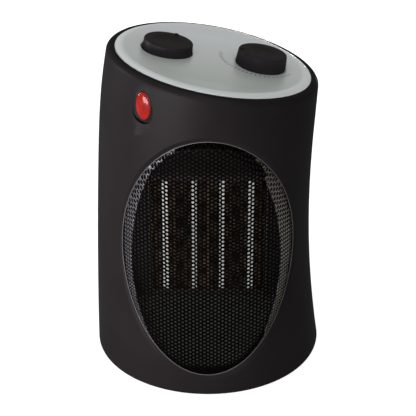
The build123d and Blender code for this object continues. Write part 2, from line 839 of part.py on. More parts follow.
# ---- fan and motor -----------------------------------------------------------------------
def fan_impeller():
    middle = (hub_front + hub_back) / 2
    hub = rod_y(hub_radius, hub_front, hub_back)
    hub = hub - rod_y(hub_radius - hub_wall, hub_front + hub_wall, hub_back)
    hub = fillet(hub.edges().sort_by(Axis.Y)[0], hub_wall / 2)
    hub = hub + rod_y(hub_boss_radius, hub_front, hub_back)
    length = fan_tip_radius - hub_radius + hub_wall
    vane = Pos(0, middle, hub_radius - hub_wall / 2 + length / 2) * Rot(0, 0, blade_pitch)
    vane = vane * Box(blade_chord, blade_thickness, length)
    sweep_room = rod_y(fan_tip_radius, hub_front, hub_back)
    vane = vane & (sweep_room - rod_y(hub_radius - hub_wall / 2, hub_front, hub_back))
    for i in range(blade_count):
        hub = hub + Rot(0, 360 / blade_count * i, 0) * vane
    return fan_place * (hub - rod_y(motor_shaft_radius + press_gap, motor_shaft_front, hub_back))


def motor_mount():
    """Spider that carries the motor behind the fan."""
    ring = rod_y(fan_ring_radius + fan_ring_wall, fan_ring_back, mount_back)
    ring = ring - rod_y(fan_ring_radius, fan_ring_back, mount_back)
    spider = ring + rod_y(mount_disc_radius, fan_ring_back, mount_back)
    reach = fan_ring_radius + fan_ring_wall / 2
    half = mount_arm / 2
    arm = block((-half, half), (fan_ring_back, mount_back), (mount_disc_radius / 2, reach))
    for i in range(mount_arm_count):
        spider = spider + Rot(0, 360 / mount_arm_count * i, 0) * arm
    for x, z in ear_spots():
        spider = spider + Pos(x, 0, z) * rod_y(ear_radius, fan_ring_back, mount_back)
    for x, z in ear_spots():
        spider = spider - Pos(x, 0, z) * rod_y(screw_radius + screw_gap, fan_ring_back, mount_back)
    cup = bearing_radius + cup_wall + screw_gap
    pilot = rod_y(small_screw_radius + thread_gap, fan_ring_back, mount_back)
    pilots = [Pos(side * motor_screw_x, 0, 0) * pilot for side in (-1, 1)]
    return fan_place * (spider - [rod_y(cup, fan_ring_back, mount_back), *pilots])


def motor_bracket(web, leg_end):
    """Bearing bracket: its web's inner face lies at y = web and two posts run to the stack."""
    outer = web - bracket_sheet if leg_end > web else web + bracket_sheet
    web_range = sorted((web, outer))
    half = bracket_half_length
    shape = block((-half, half), web_range, (-bracket_width / 2, bracket_width / 2))
    shape = fillet(shape.edges().filter_by(Axis.Y), bracket_width / 3)
    post = rod_y(bracket_post_radius, *sorted((web, leg_end)))
    hole = rod_y(small_screw_radius + screw_gap, min(outer, leg_end), max(outer, leg_end))
    middle = sum(web_range) / 2
    cup = rod_y(bearing_radius + cup_wall, middle - bearing_length / 2, middle + bearing_length / 2)
    bore = rod_y(bearing_radius + press_gap, middle - bearing_length, middle + bearing_length)
    spots = [Pos(side * motor_screw_x, 0, 0) for side in (-1, 1)]
    shape = shape + [cup, *at(spots, post)]
    return fan_place * (shape - [bore, *at(spots, hole)])


def motor_bearings():
    middles = (mount_back + bracket_sheet / 2, stack_back + bracket_leg + bracket_sheet / 2)
    half = bearing_length / 2
    ring = rod_y(bearing_radius, -half, half) - rod_y(motor_shaft_radius + running_gap, -half, half)
    return joined([fan_place * Pos(0, y, 0) * ring for y in middles])


def motor_stack():
    """Steel stack with the rotor's bore and the window for the coil."""
    half = stack_half_width
    stack = block((-half, half), (stack_front, stack_back), (-stack_below, stack_above))
    stack = fillet(stack.edges().filter_by(Axis.Y), stack_corner)
    stack = stack - rod_y(rotor_radius + air_gap, stack_front, stack_back)
    half = coil_half_width + coil_room
    window = block((-half, half), (stack_front, stack_back), (-coil_window_low, -coil_window_high))
    hole = rod_y(small_screw_radius + screw_gap, stack_front, stack_back)
    holes = [Pos(side * motor_screw_x, 0, 0) * hole for side in (-1, 1)]
    return fan_place * (stack - [window, *holes])


def motor_coil():
    """Winding round the lower limb of the stack."""
    low = -stack_below - coil_wall
    high = -coil_window_low + coil_wall
    half = coil_half_width
    body = block((-half, half), (stack_front - coil_wall, stack_back + coil_wall), (low, high))
    body = fillet(body.edges().filter_by(Axis.X), coil_corner)
    limb = block((-half, half), (stack_front - panel_gap, stack_back + panel_gap),
                 (-stack_below - panel_gap, -coil_window_low + panel_gap))
    return fan_place * (body - limb)


# ---- neon light --------------------------------------------------------------------------
def neon_lens():
    outline = Ellipse(lens_half_width, lens_half_height)
    dome = scale(Sphere(1), by=(lens_half_width, lens_half_height, lens_bulge))
    stem = extrude(outline, amount=-lens_depth)
    collar = Pos(0, 0, -lens_depth) * extrude(
        Ellipse(lens_half_width - holder_wall, lens_half_height - holder_wall), amount=-holder_wall)
    return lens_plane(lens_seat) * (stem + dome + collar)


def lamp_places():
    """Frame at the back of the lens, looking inwards."""
    return lens_plane(lens_seat) * Pos(0, 0, -lens_depth - holder_wall)


def neon_lamp():
    bulb = rod(lamp_radius, -lamp_length, 0)
    bulb = fillet(bulb.edges().sort_by(Axis.Z)[-1], lamp_radius * 0.6)
    return lamp_places() * Pos(0, 0, -panel_gap) * bulb


def lamp_holder():
    outer = lamp_radius + 2 * holder_wall
    sleeve = rod(outer, -lamp_length - holder_wall, 0) - rod(lamp_radius + press_gap, -lamp_length, 0)
    return lamp_places() * Pos(0, 0, -panel_gap) * sleeve


# ---- safety parts, wiring and cord entry -------------------------------------------------
def duct_roof():
    return element_height + duct_half_height + duct_wall


def thermal_cutout():
    can = rod(cutout_radius, 0, cutout_height)
    can = fillet(can.edges().sort_by(Axis.Z)[-1], soft_edge)
    tabs = Box(2 * (cutout_radius + terminal_reach), terminal_width, terminal_sheet)
    tabs = Pos(0, 0, (cutout_height + terminal_sheet) / 2) * tabs
    return Pos(cutout_x, safety_y, duct_roof()) * (can + tabs)


def thermal_fuse():
    body = Cylinder(fuse_radius, fuse_length, rotation=(0, 90, 0))
    lead = Cylinder(fuse_lead_radius, 2 * fuse_length, rotation=(0, 90, 0))
    return Pos(fuse_x, safety_y, duct_roof() + fuse_radius) * (body + lead)


def tip_place():
    return Pos(tip_x, tip_y, 0)


def plunger_collar_height():
    """Height of the underside of the plunger's collar at rest, plunger pushed up by the floor."""
    return base_high + plunger_travel + panel_gap


def tip_plunger():
    """Plunger that the floor holds up while the heater stands."""
    collar_low = plunger_collar_height()
    stem = rod(plunger_radius, 0, collar_low)
    stem = fillet(stem.edges().sort_by(Axis.Z)[0], soft_edge)
    collar = rod(plunger_collar, collar_low, collar_low + guide_wall)
    spindle = rod(spindle_radius, collar_low, base_high + guide_height + guide_wall)
    return tip_place() * (stem + collar + spindle)


def tip_guide():
    """Guide that holds the plunger and the spring on the base plate."""
    inner = plunger_collar + panel_gap
    outer = inner + guide_wall
    high = base_high + guide_height
    guide = rod(outer, base_high, high) - rod(inner, base_high, high - guide_wall)
    return tip_place() * (guide - rod(spindle_radius + panel_gap, base_high, high))


def spring_ends():
    low = plunger_collar_height() + guide_wall + spring_wire
    high = base_high + guide_height - guide_wall - spring_wire
    return low + panel_gap, high - panel_gap


def tip_spring():
    low, high = spring_ends()
    radius = plunger_collar - 2 * spring_wire
    height = high - low
    coil = Helix(pitch=height / spring_turns, height=height, radius=radius)
    section = Plane(origin=coil @ 0, z_dir=coil % 0) * Circle(spring_wire)
    return tip_place() * Pos(0, 0, low) * sweep(section, path=coil)


def tip_microswitch():
    length, depth, height = microswitch_size
    outer = plunger_collar + panel_gap + guide_wall
    body = block((-length / 2, length / 2), (-outer - depth, -outer), (base_high, base_high + height))
    return tip_place() * body


def terminal_block():
    length, depth, height = block_size
    high = base_high + height
    body = block((-length / 2, length / 2), (-depth / 2, depth / 2), (base_high, high))
    hole = rod(screw_radius + screw_gap, base_high + block_floor, high)
    return Pos(block_x, block_y, 0) * (body - [Pos(i * block_pitch, 0, 0) * hole for i in (-1, 0, 1)])


def terminal_screws():
    height = block_size[2]
    shank = Pos(0, 0, base_high + block_floor) * rod(screw_radius, 0, height - 2 * block_floor)
    return joined([Pos(block_x + i * block_pitch, block_y, 0) * shank for i in (-1, 0, 1)])


def cord_bushing():
    """Smooth sleeve that guards the cord where it would pass through the rear shell."""
    surface = barrel_radius(cord_height)
    outer = cord_radius + bushing_wall
    sleeve = rod_y(outer, surface - wall - bushing_tail, surface)
    flange_back = surface - wall - bushing_gap
    flange = rod_y(outer + bushing_flange, flange_back - bushing_wall, flange_back)
    sleeve = sleeve + flange - rod_y(cord_radius, 0, 2 * waist_radius)
    return Pos(0, 0, cord_height) * sleeve


# ---- fasteners ---------------------------------------------------------------------------
def housing_screws():
    fastener = Rot(-90, 0, 0) * big_screw(housing_screw_length + housing_web - wall)
    return joined([Pos(x, head_seat(), z) * fastener for x, z in housing_boss_spots()])


def base_screws():
    fastener = Rot(180, 0, 0) * big_screw(base_boss_height - 2 * wall)
    return joined([Pos(x, y, base_low) * fastener for x, y in base_boss_spots()])


def duct_screws():
    places = [Pos(x, y, stand_height + leg_foot_sheet) for x, y in stand_spots()]
    return joined(at(places, big_screw(leg_foot_sheet + stand_boss - panel_gap)))


def mount_screws():
    fastener = Rot(-90, 0, 0) * big_screw(mount_plate + mount_screw_grip)
    return joined([fan_place * Pos(x, mount_back, z) * fastener for x, z in ear_spots()])


def motor_screws():
    """Long screws that clamp the brackets and the stack to the spider."""
    head_face = stack_back + bracket_leg + bracket_sheet
    fastener = Rot(-90, 0, 0) * small_screw(head_face - fan_ring_back)
    return joined([fan_place * Pos(side * motor_screw_x, head_face, 0) * fastener for side in (-1, 1)])


def control_screws():
    grip = well_floor * 0.8
    high = small_screw(switch_height + grip)
    low = small_screw(thermostat_height + grip)
    deep = Pos(0, 0, -seat_drop - switch_height) * Rot(180, 0, 0)
    shallow = Pos(0, 0, -seat_drop - thermostat_height) * Rot(180, 0, 0)
    screws = [place * deep * high for place in control_screw_places(selector_place)]
    screws += [place * shallow * low for place in control_screw_places(thermostat_place)]
    return joined(screws)


# ---- write every piece -------------------------------------------------------------------
shell = whole_shell()
save("front_housing", front_housing(shell))
save("rear_housing", rear_housing(shell))
save("base_plate", base_plate())
save("rubber_feet", rubber_feet())
save("control_panel", control_panel())
save("front_grille", front_grille())
save("grille_retainer", grille_retainer())
save("air_duct", air_duct())
save("lower_deflector", deflector(element_height - duct_half_height - duct_wall, -deflector_fall))
save("upper_deflector", deflector(element_height + duct_half_height + duct_wall, deflector_rise))
save("element_bars", element_bars())
save("ptc_stones", ptc_stones())
save("heater_fins", heater_fins())
save("fin_separators", fin_separators())
save("element_sides", element_sides())
save("element_end_caps", element_end_caps())
save("element_terminals", element_terminals())
save("fan_impeller", fan_impeller())
save("motor_shaft", fan_place * rod_y(motor_shaft_radius, motor_shaft_front, motor_shaft_back))
save("motor_rotor", fan_place * (rod_y(rotor_radius, stack_front, stack_back)
                                 - rod_y(motor_shaft_radius + press_gap, stack_front, stack_back)))
save("motor_stack", motor_stack())
save("motor_coil", motor_coil())
save("motor_front_bracket", motor_bracket(mount_back + bracket_sheet, stack_front))
save("motor_rear_bracket", motor_bracket(stack_back + bracket_leg, stack_back))
save("motor_bearings", motor_bearings())
save("motor_mount", motor_mount())
save("selector_knob", selector_place * Pos(0, 0, selector_top) * knob(selector_mark))
save("thermostat_knob", thermostat_place * Pos(0, 0, thermostat_top) * knob(thermostat_mark))
save("selector_shaft", selector_place * control_shaft(selector_top, -seat_drop - switch_height / 2))
save("thermostat_shaft", thermostat_place * control_shaft(thermostat_top, -seat_drop - thermostat_height))
save("selector_switch", selector_switch())
save("selector_terminals", selector_terminals())
save("thermostat_body", thermostat_body())
save("bimetal_strip", blade(-bimetal_x, bimetal_drop, 0))
save("contact_blade", blade(-contact_x, contact_drop, contact_tip))
save("control_screws", control_screws())
save("neon_lens", neon_lens())
save("neon_lamp", neon_lamp())
save("lamp_holder", lamp_holder())
save("thermal_cutout", thermal_cutout())
save("thermal_fuse", thermal_fuse())
save("tip_plunger", tip_plunger())
save("tip_guide", tip_guide())
save("tip_spring", tip_spring())
save("tip_microswitch", tip_microswitch())
save("terminal_block", terminal_block())
save("terminal_screws", terminal_screws())
save("cord_bushing", cord_bushing())
save("housing_screws", housing_screws())
save("base_screws", base_screws())
save("duct_screws", duct_screws())
save("mount_screws", mount_screws())
save("motor_screws", motor_screws())
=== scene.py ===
"""Looks of the ceramic fan heater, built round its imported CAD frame.

The scene is in metres, +Z up, with the front towards -Y. Sizes of shapes are given in
millimetres and scaled by MM.
"""

import math

import bpy
import numpy as np
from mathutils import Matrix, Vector
from mathutils.bvhtree import BVHTree
from mathutils.geometry import delaunay_2d_cdt


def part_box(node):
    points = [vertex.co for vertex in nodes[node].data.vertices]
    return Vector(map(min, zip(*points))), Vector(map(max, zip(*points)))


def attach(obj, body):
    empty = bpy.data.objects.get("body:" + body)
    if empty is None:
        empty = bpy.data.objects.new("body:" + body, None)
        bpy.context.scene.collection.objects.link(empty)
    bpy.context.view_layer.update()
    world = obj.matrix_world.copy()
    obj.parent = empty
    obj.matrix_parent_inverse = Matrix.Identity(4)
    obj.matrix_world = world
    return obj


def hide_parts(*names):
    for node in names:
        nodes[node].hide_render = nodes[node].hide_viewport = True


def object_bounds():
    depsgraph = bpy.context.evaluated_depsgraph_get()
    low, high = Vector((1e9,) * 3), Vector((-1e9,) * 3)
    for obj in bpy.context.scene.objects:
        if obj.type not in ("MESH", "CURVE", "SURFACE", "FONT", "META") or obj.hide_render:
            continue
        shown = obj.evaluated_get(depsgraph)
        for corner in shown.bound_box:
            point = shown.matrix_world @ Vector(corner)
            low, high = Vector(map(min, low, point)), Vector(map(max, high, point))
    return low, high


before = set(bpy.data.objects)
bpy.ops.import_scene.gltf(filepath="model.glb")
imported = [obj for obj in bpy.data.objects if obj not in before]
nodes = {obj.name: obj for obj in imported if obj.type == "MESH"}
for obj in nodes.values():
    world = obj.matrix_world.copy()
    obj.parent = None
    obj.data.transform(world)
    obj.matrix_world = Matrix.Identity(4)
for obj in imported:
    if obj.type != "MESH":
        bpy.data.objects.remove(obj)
cad_low, cad_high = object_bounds()
scene = bpy.context.scene
MM = 0.001
TURN = 2 * math.pi
TOP_SLOPE = math.radians(10.0)     # the top falls towards the right by this
ALONG = np.array((math.cos(TOP_SLOPE), 0, -math.sin(TOP_SLOPE)))
BACKWARDS = np.array((0, 1.0, 0))
OUTWARDS = np.array((math.sin(TOP_SLOPE), 0, math.cos(TOP_SLOPE)))

# ---- camera ------------------------------------------------------------------------------
TARGET = Vector((0, 0, 113.0)) * MM
DISTANCE = 0.950
ELEVATION = math.radians(26.548)
LENS = 109.37
SENSOR = 36.0
CLIP_START, CLIP_END = 0.01, 30


def make_camera():
    data = bpy.data.cameras.new("camera")
    camera = bpy.data.objects.new("camera", data)
    scene.collection.objects.link(camera)
    data.lens = LENS
    data.sensor_width = SENSOR
    data.clip_start = CLIP_START
    data.clip_end = CLIP_END
    back = Vector((0, -math.cos(ELEVATION), math.sin(ELEVATION)))
    camera.location = TARGET + back * DISTANCE
    camera.rotation_mode = "QUATERNION"
    camera.rotation_quaternion = (-back).to_track_quat("-Z", "Y")
    scene.camera = camera


# ---- shader nodes ------------------------------------------------------------------------
NOISE_RANGE = (0.3, 0.7)           # most of what a noise gives lies between these


def node_tree(owner):
    """The emptied node tree of a material or a world."""
    owner.use_nodes = True
    tree = owner.node_tree
    tree.nodes.clear()
    return tree


def link(tree, a, b):
    tree.links.new(a, b)


def fill(node, values):
    """Constants for the node's input sockets, by name."""
    for socket, value in values.items():
        node.inputs[socket].default_value = value


def principled(name):
    """A new material of one Principled shader: the material, its node tree and the shader."""
    material = bpy.data.materials.new(name)
    tree = node_tree(material)
    output = tree.nodes.new("ShaderNodeOutputMaterial")
    shader = tree.nodes.new("ShaderNodeBsdfPrincipled")
    link(tree, shader.outputs[0], output.inputs["Surface"])
    return material, tree, shader


def noise(tree, scale, detail, rough=0.55, stretch=(1, 1, 1)):
    """Noise on the object's own coordinates, scale in features per metre."""
    coords = tree.nodes.new("ShaderNodeTexCoord")
    mapping = tree.nodes.new("ShaderNodeMapping")
    fill(mapping, {"Scale": stretch})
    texture = tree.nodes.new("ShaderNodeTexNoise")
    fill(texture, {"Scale": scale, "Detail": detail, "Roughness": rough})
    link(tree, coords.outputs["Object"], mapping.inputs["Vector"])
    link(tree, mapping.outputs["Vector"], texture.inputs["Vector"])
    return texture.outputs["Fac"]


def spread(tree, value, low, high, source=NOISE_RANGE):
    """The value stretched from its source range to run from low to high."""
    ranged = tree.nodes.new("ShaderNodeMapRange")
    fill(ranged, {"From Min": source[0], "From Max": source[1], "To Min": low, "To Max": high})
    link(tree, value, ranged.inputs["Value"])
    return ranged.outputs["Result"]


def mixed(tree, factor, a, b):
    """Colour a where factor is 0 and b where it is 1. Each is a colour or a socket."""
    mix = tree.nodes.new("ShaderNodeMix")
    mix.data_type = "RGBA"
    link(tree, factor, mix.inputs["Factor"])
    for socket, value in ((mix.inputs["A"], a), (mix.inputs["B"], b)):
        if isinstance(value, tuple):
            socket.default_value = (*value, 1)
        else:
            link(tree, value, socket)
    return mix.outputs["Result"]


def mixed_shader(tree, factor, a, b, output):
    """Shader a where factor is 0 and b where it is 1, as the output's surface."""
    mix = tree.nodes.new("ShaderNodeMixShader")
    for socket, value in zip(mix.inputs, (factor, a.outputs[0], b.outputs[0])):
        link(tree, value, socket)
    link(tree, mix.outputs[0], output.inputs["Surface"])


def number_math(tree, operation, *values):
    """The result of a maths node. Each value is a number or a socket."""
    node = tree.nodes.new("ShaderNodeMath")
    node.operation = operation
    for socket, value in zip(node.inputs, values):
        if isinstance(value, float):
            socket.default_value = value
        else:
            link(tree, value, socket)
    return node.outputs[0]


def own_place(tree, axis):
    """The object's own coordinate along one axis, in metres."""
    coords = tree.nodes.new("ShaderNodeTexCoord")
    split = tree.nodes.new("ShaderNodeSeparateXYZ")
    link(tree, coords.outputs["Object"], split.inputs[0])
    return split.outputs[axis]


def add_bump(tree, shader, height, strength, distance):
    """Bump on the shader's normal, distance in millimetres."""
    bump = tree.nodes.new("ShaderNodeBump")
    fill(bump, {"Strength": strength, "Distance": distance * MM})
    link(tree, height, bump.inputs["Height"])
    link(tree, bump.outputs["Normal"], shader.inputs["Normal"])


def tint(material, factor, colour):
    """The material's colour turned into another one where factor is 1."""
    tree = material.node_tree
    shader = next(n for n in tree.nodes if n.type == "BSDF_PRINCIPLED")
    base = shader.inputs["Base Color"]
    link(tree, mixed(tree, factor, base.links[0].from_socket, colour), base)


# ---- materials ---------------------------------------------------------------------------
CLOUD_DETAIL = 3.0
GRAIN_DETAIL = 2.0
GRAIN_ROUGHNESS = 0.6
GRAIN_STRENGTH = 0.35              # of the grain's bump
ROUGH_SPREAD = 0.06                # the grain takes the roughness this far up and down
ROUGH_LEAST = 0.02
EDGE_POINTINESS = (0.56, 0.66)     # from a plain surface to a full edge
EDGE_SHARE = 0.7                   # how much of the wear colour a full edge shows

# key: name, colour, clouded colour, roughness, options of finish_material
FINISHES = {
    "shell": ("satin_black_shell", (0.0044, 0.0036, 0.0038), (0.0056, 0.0048, 0.0049), 0.5,
              dict(specular=0.0, coat=0.055, coat_rough=0.45, grain=1400,
                   wear=(0.018, 0.017, 0.018))),
    "base": ("black_base", (0.008, 0.008, 0.008), (0.012, 0.012, 0.012), 0.55, dict(specular=0.3)),
    "rubber": ("foot_rubber_grey", (0.02, 0.02, 0.02), (0.035, 0.035, 0.033), 0.85,
               dict(specular=0.2, grain=600, grain_depth=0.05)),
    "panel": ("silver_green_paint", (0.198, 0.216, 0.197), (0.228, 0.246, 0.225), 0.38,
              dict(metal=0.15, specular=0.4, grain=2600, grain_depth=0.008, cloud=9)),
    "knob": ("knob_black", (0.0052, 0.0042, 0.0038), (0.0075, 0.0060, 0.0055), 0.45,
             dict(specular=0.0, coat=0.10, coat_rough=0.4, grain=1500, grain_depth=0.012,
                  wear=(0.05, 0.05, 0.055))),
    "grille": ("grille_black_paint", (0.0008, 0.0007, 0.0006), (0.0014, 0.0012, 0.0010), 0.5,
               dict(specular=0.0, coat=0.004, coat_rough=0.45, grain=1800, grain_depth=0.01)),
    # Painted sheen: the drawn wall takes a paler copy of the grille's black paint, for the light
    # its wall catches.
    "grille_wall_sheen": ("grille_wall_painted_sheen", (0.020, 0.019, 0.021), (0.030, 0.028, 0.031), 0.35,
                    dict(specular=0.0, coat=0.5, coat_rough=0.3, grain=1800, grain_depth=0.01)),
    "inner": ("inner_dark_plastic", (0.009, 0.009, 0.010), (0.014, 0.014, 0.015), 0.5,
              dict(specular=0.12)),
    "deflector": ("deflector_dark_green", (0.008, 0.011, 0.009), (0.014, 0.018, 0.015), 0.4,
                  dict(metal=0.3, specular=0.3, grain=700, grain_stretch=(1, 8, 1))),
    "aluminium": ("element_aluminium_bar", (0.80, 0.81, 0.78), (0.68, 0.70, 0.66), 0.38,
                  dict(metal=1.0, grain=1500, grain_stretch=(3, 3, 0.3), cloud=60)),
    "fins": ("fin_brown_aluminium", (0.014, 0.010, 0.007), (0.18, 0.125, 0.080), 0.42,
             dict(metal=0.8, cloud=420, cloud_stretch=(1, 1, 0.05))),
    "separator": ("separator_bronze", (0.16, 0.10, 0.055), (0.28, 0.19, 0.11), 0.4,
                  dict(metal=0.9, cloud=140)),
    "ceramic": ("ptc_ceramic_grey", (0.22, 0.20, 0.18), (0.30, 0.28, 0.25), 0.7, dict(grain=500)),
    "heat_plastic": ("heat_plastic_brown", (0.012, 0.010, 0.009), (0.02, 0.017, 0.014), 0.6,
                     dict(specular=0.25)),
    "brass": ("brass_sheet", (0.62, 0.43, 0.17), (0.50, 0.33, 0.12), 0.3,
              dict(metal=1.0, grain=1200)),
    "bronze": ("sintered_bronze", (0.35, 0.20, 0.09), (0.27, 0.15, 0.07), 0.55,
               dict(metal=1.0, grain=2500, grain_depth=0.04)),
    "fan": ("fan_grey_plastic", (0.045, 0.045, 0.045), (0.06, 0.06, 0.058), 0.5, {}),
    "steel": ("plain_steel", (0.52, 0.52, 0.51), (0.42, 0.42, 0.41), 0.34,
              dict(metal=1.0, grain=1600, grain_stretch=(1, 1, 6))),
    "stack": ("lamination_stack", (0.24, 0.235, 0.23), (0.17, 0.165, 0.16), 0.45,
              dict(metal=1.0, grain=1400, grain_depth=0.06, grain_stretch=(0.1, 1.2, 0.1))),
    "coil": ("enamelled_copper", (0.45, 0.16, 0.06), (0.33, 0.10, 0.035), 0.3,
             dict(metal=0.9, grain_depth=0.15, grain_stretch=(2.0, 0.05, 0.05), coat=0.5)),
    "screw": ("zinc_screw", (0.40, 0.40, 0.40), (0.30, 0.30, 0.31), 0.38,
              dict(metal=1.0, grain=1500)),
    "switch": ("switch_white_plastic", (0.52, 0.50, 0.45), (0.58, 0.56, 0.51), 0.5,
               dict(grain=1100)),
    "steatite": ("steatite", (0.66, 0.63, 0.56), (0.72, 0.70, 0.64), 0.62,
                 dict(grain=700, grain_depth=0.05)),
    "glass": ("lamp_clear_glass", (0.9, 0.85, 0.8), (0.95, 0.9, 0.86), 0.08,
              dict(grain=300, grain_depth=0.005, transmission=0.85)),
    "natural": ("natural_nylon", (0.55, 0.53, 0.47), (0.60, 0.58, 0.52), 0.45, dict(grain=1200)),
    "tick": ("tick_print", (0.018, 0.024, 0.040), (0.035, 0.042, 0.062), 0.5,
             dict(specular=0.3, cloud=80)),
    # Painted shade: the black ring round the lens stands in for the shaded gap there.
    "lens_gap_shade": ("gap_shade_black", (0.0015, 0.0015, 0.0018), (0.0025, 0.0025, 0.0028), 0.4,
               dict(specular=0.1)),
    # Painted highlight: the bead along the outlet is paler than the shell to show the light on
    # that edge.
    "lip": ("lip_painted_highlight", (0.022, 0.020, 0.022), (0.035, 0.032, 0.034), 0.40,
            dict(specular=0.4, grain=2000)),
}

NODE_FINISH = {
    "front_housing": "shell", "rear_housing": "shell", "base_plate": "base",
    "rubber_feet": "rubber", "control_panel": "panel", "front_grille": "grille",
    "grille_retainer": "inner", "air_duct": "inner", "lower_deflector": "deflector",
    "upper_deflector": "inner", "element_bars": "aluminium", "ptc_stones": "ceramic",
    "heater_fins": "fins", "fin_separators": "separator", "element_sides": "fins",
    "element_end_caps": "heat_plastic", "element_terminals": "brass", "fan_impeller": "fan",
    "motor_shaft": "steel", "motor_rotor": "steel", "motor_stack": "stack",
    "motor_coil": "coil", "motor_front_bracket": "steel", "motor_rear_bracket": "steel",
    "motor_bearings": "bronze", "motor_mount": "inner", "selector_knob": "knob",
    "thermostat_knob": "knob", "selector_shaft": "natural", "thermostat_shaft": "brass",
    "selector_switch": "switch", "selector_terminals": "brass", "thermostat_body": "steatite",
    "bimetal_strip": "steel", "contact_blade": "brass", "control_screws": "screw",
    "neon_lens": "lens", "neon_lamp": "glass", "lamp_holder": "heat_plastic",
    "thermal_cutout": "aluminium", "thermal_fuse": "aluminium", "tip_plunger": "natural",
    "tip_guide": "inner", "tip_spring": "steel", "tip_microswitch": "base",
    "terminal_block": "switch", "terminal_screws": "brass", "cord_bushing": "rubber",
    "housing_screws": "screw", "base_screws": "screw", "duct_screws": "screw",
    "mount_screws": "screw", "motor_screws": "screw",
}


def finish_material(name, colour, clouded, rough, metal=0.0, specular=0.5, grain=900.0,
                    grain_depth=0.02, grain_stretch=(1, 1, 1), cloud=18.0,
                    cloud_stretch=(1, 1, 1), wear=None, coat=0.0, coat_rough=0.1,
                    transmission=0.0):
    """A surface with clouded colour, a fine grain in its bump and roughness, and edges of the
    wear colour if that is given. Grain and cloud are in features per metre."""
    material, tree, shader = principled(name)
    clouds = spread(tree, noise(tree, cloud, CLOUD_DETAIL, stretch=cloud_stretch), 0.0, 1.0)
    base = mixed(tree, clouds, colour, clouded)
    if wear:
        geometry = tree.nodes.new("ShaderNodeNewGeometry")
        edge = spread(tree, geometry.outputs["Pointiness"], 0.0, EDGE_SHARE, EDGE_POINTINESS)
        base = mixed(tree, edge, base, wear)
    link(tree, base, shader.inputs["Base Color"])
    fine = noise(tree, grain, GRAIN_DETAIL, GRAIN_ROUGHNESS, grain_stretch)
    roughness = spread(tree, fine, max(rough - ROUGH_SPREAD, ROUGH_LEAST), rough + ROUGH_SPREAD)
    link(tree, roughness, shader.inputs["Roughness"])
    add_bump(tree, shader, fine, GRAIN_STRENGTH, grain_depth)
    fill(shader, {"Metallic": metal, "Specular IOR Level": specular, "Coat Weight": coat,
                  "Coat Roughness": coat_rough, "Transmission Weight": transmission})
    return material


def paint_knob_grip_highlight(material):
    """A knob's grip is painted a little paler than its top, a painted highlight for the light on
    its sides.
    """
    tree = material.node_tree
    geometry = tree.nodes.new("ShaderNodeNewGeometry")
    upward = tree.nodes.new("ShaderNodeVectorMath")
    upward.operation = "DOT_PRODUCT"
    link(tree, geometry.outputs["Normal"], upward.inputs[0])
    upward.inputs[1].default_value = tuple(OUTWARDS)
    grip = spread(tree, upward.outputs["Value"], 1.0, 0.0, (0.3, 0.7))
    # Painted highlight: the grip's paler colour stands in for light on the knob's sides.
    tint(material, grip, (0.0135, 0.0118, 0.0130))


def paint_panel_light(material):
    """Painted light on the panel: painted shade darkens its dish towards the front and leaves it
    paler towards the back, and a pale ring painted round its edge is a painted highlight on that
    ring.
    """
    tree = material.node_tree
    # Painted shade: the dish is darker towards the front and paler towards the back.
    back = spread(tree, own_place(tree, "Y"), 0.0, 1.0, (-0.045, 0.050))
    tint(material, back, (0.345, 0.360, 0.362))
    low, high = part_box("control_panel")
    middle, half = (low + high) / 2, (high - low) / 2
    coords = tree.nodes.new("ShaderNodeTexCoord")
    mapping = tree.nodes.new("ShaderNodeMapping")
    fill(mapping, {"Scale": (1 / half.x, 1 / half.y, 0),
                   "Location": (-middle.x / half.x, -middle.y / half.y, 0)})
    link(tree, coords.outputs["Object"], mapping.inputs["Vector"])
    length = tree.nodes.new("ShaderNodeVectorMath")
    length.operation = "LENGTH"
    link(tree, mapping.outputs["Vector"], length.inputs[0])
    # Painted highlight: a pale ring along the panel's edge, for the light its ring catches.
    ring = spread(tree, length.outputs["Value"], 0.0, 1.0, (0.895, 0.925))
    tint(material, ring, (0.345, 0.367, 0.361))


def paint_wall_light(material):
    """Painted light on the drawn wall of the grille: grey on the left and tanned on the right, as
    its two sides catch the light differently.
    """
    tree = material.node_tree
    # Painted light: the right side of the wall is tinted paler and tanned.
    right = spread(tree, own_place(tree, "X"), 0.0, 1.0, (-0.020, 0.030))
    tint(material, right, (0.052, 0.042, 0.030))


def fade_ticks(material):
    """The ink is dark in front of the thermostat knob and pales to both sides of that."""
    tree = material.node_tree
    away = number_math(tree, "SUBTRACT", own_place(tree, "X"), 0.030)
    distance = number_math(tree, "ABSOLUTE", away)
    tint(material, spread(tree, distance, 0.0, 1.0, (0.004, 0.026)), (0.14, 0.147, 0.155))


def lens_material():
    """Red moulded lens: a glossy skin over a faintly flecked body that glows a little."""
    material, tree, shader = principled("red_lens_clear")
    flecks = spread(tree, noise(tree, 260, 3.0), 0.0, 1.0)
    base = mixed(tree, flecks, (0.075, 0.0010, 0.0008), (0.125, 0.004, 0.0025))
    link(tree, base, shader.inputs["Base Color"])
    link(tree, base, shader.inputs["Emission Color"])
    add_bump(tree, shader, noise(tree, 420, 2.0), 0.25, 0.05)
    fill(shader, {"Roughness": 0.3, "Specular IOR Level": 0.0, "Coat Weight": 0.2,
                  "Coat Roughness": 0.06, "Emission Strength": 0.05})
    return material


def make_materials():
    made = {key: finish_material(*plain, **options) for key, (*plain, options) in FINISHES.items()}
    paint_knob_grip_highlight(made["knob"])
    paint_panel_light(made["panel"])
    paint_wall_light(made["grille_wall_sheen"])
    fade_ticks(made["tick"])
    made["lens"] = lens_material()
    return made


def dress_nodes(materials):
    for name, obj in nodes.items():
        obj.data.materials.clear()
        obj.data.materials.append(materials[NODE_FINISH[name]])


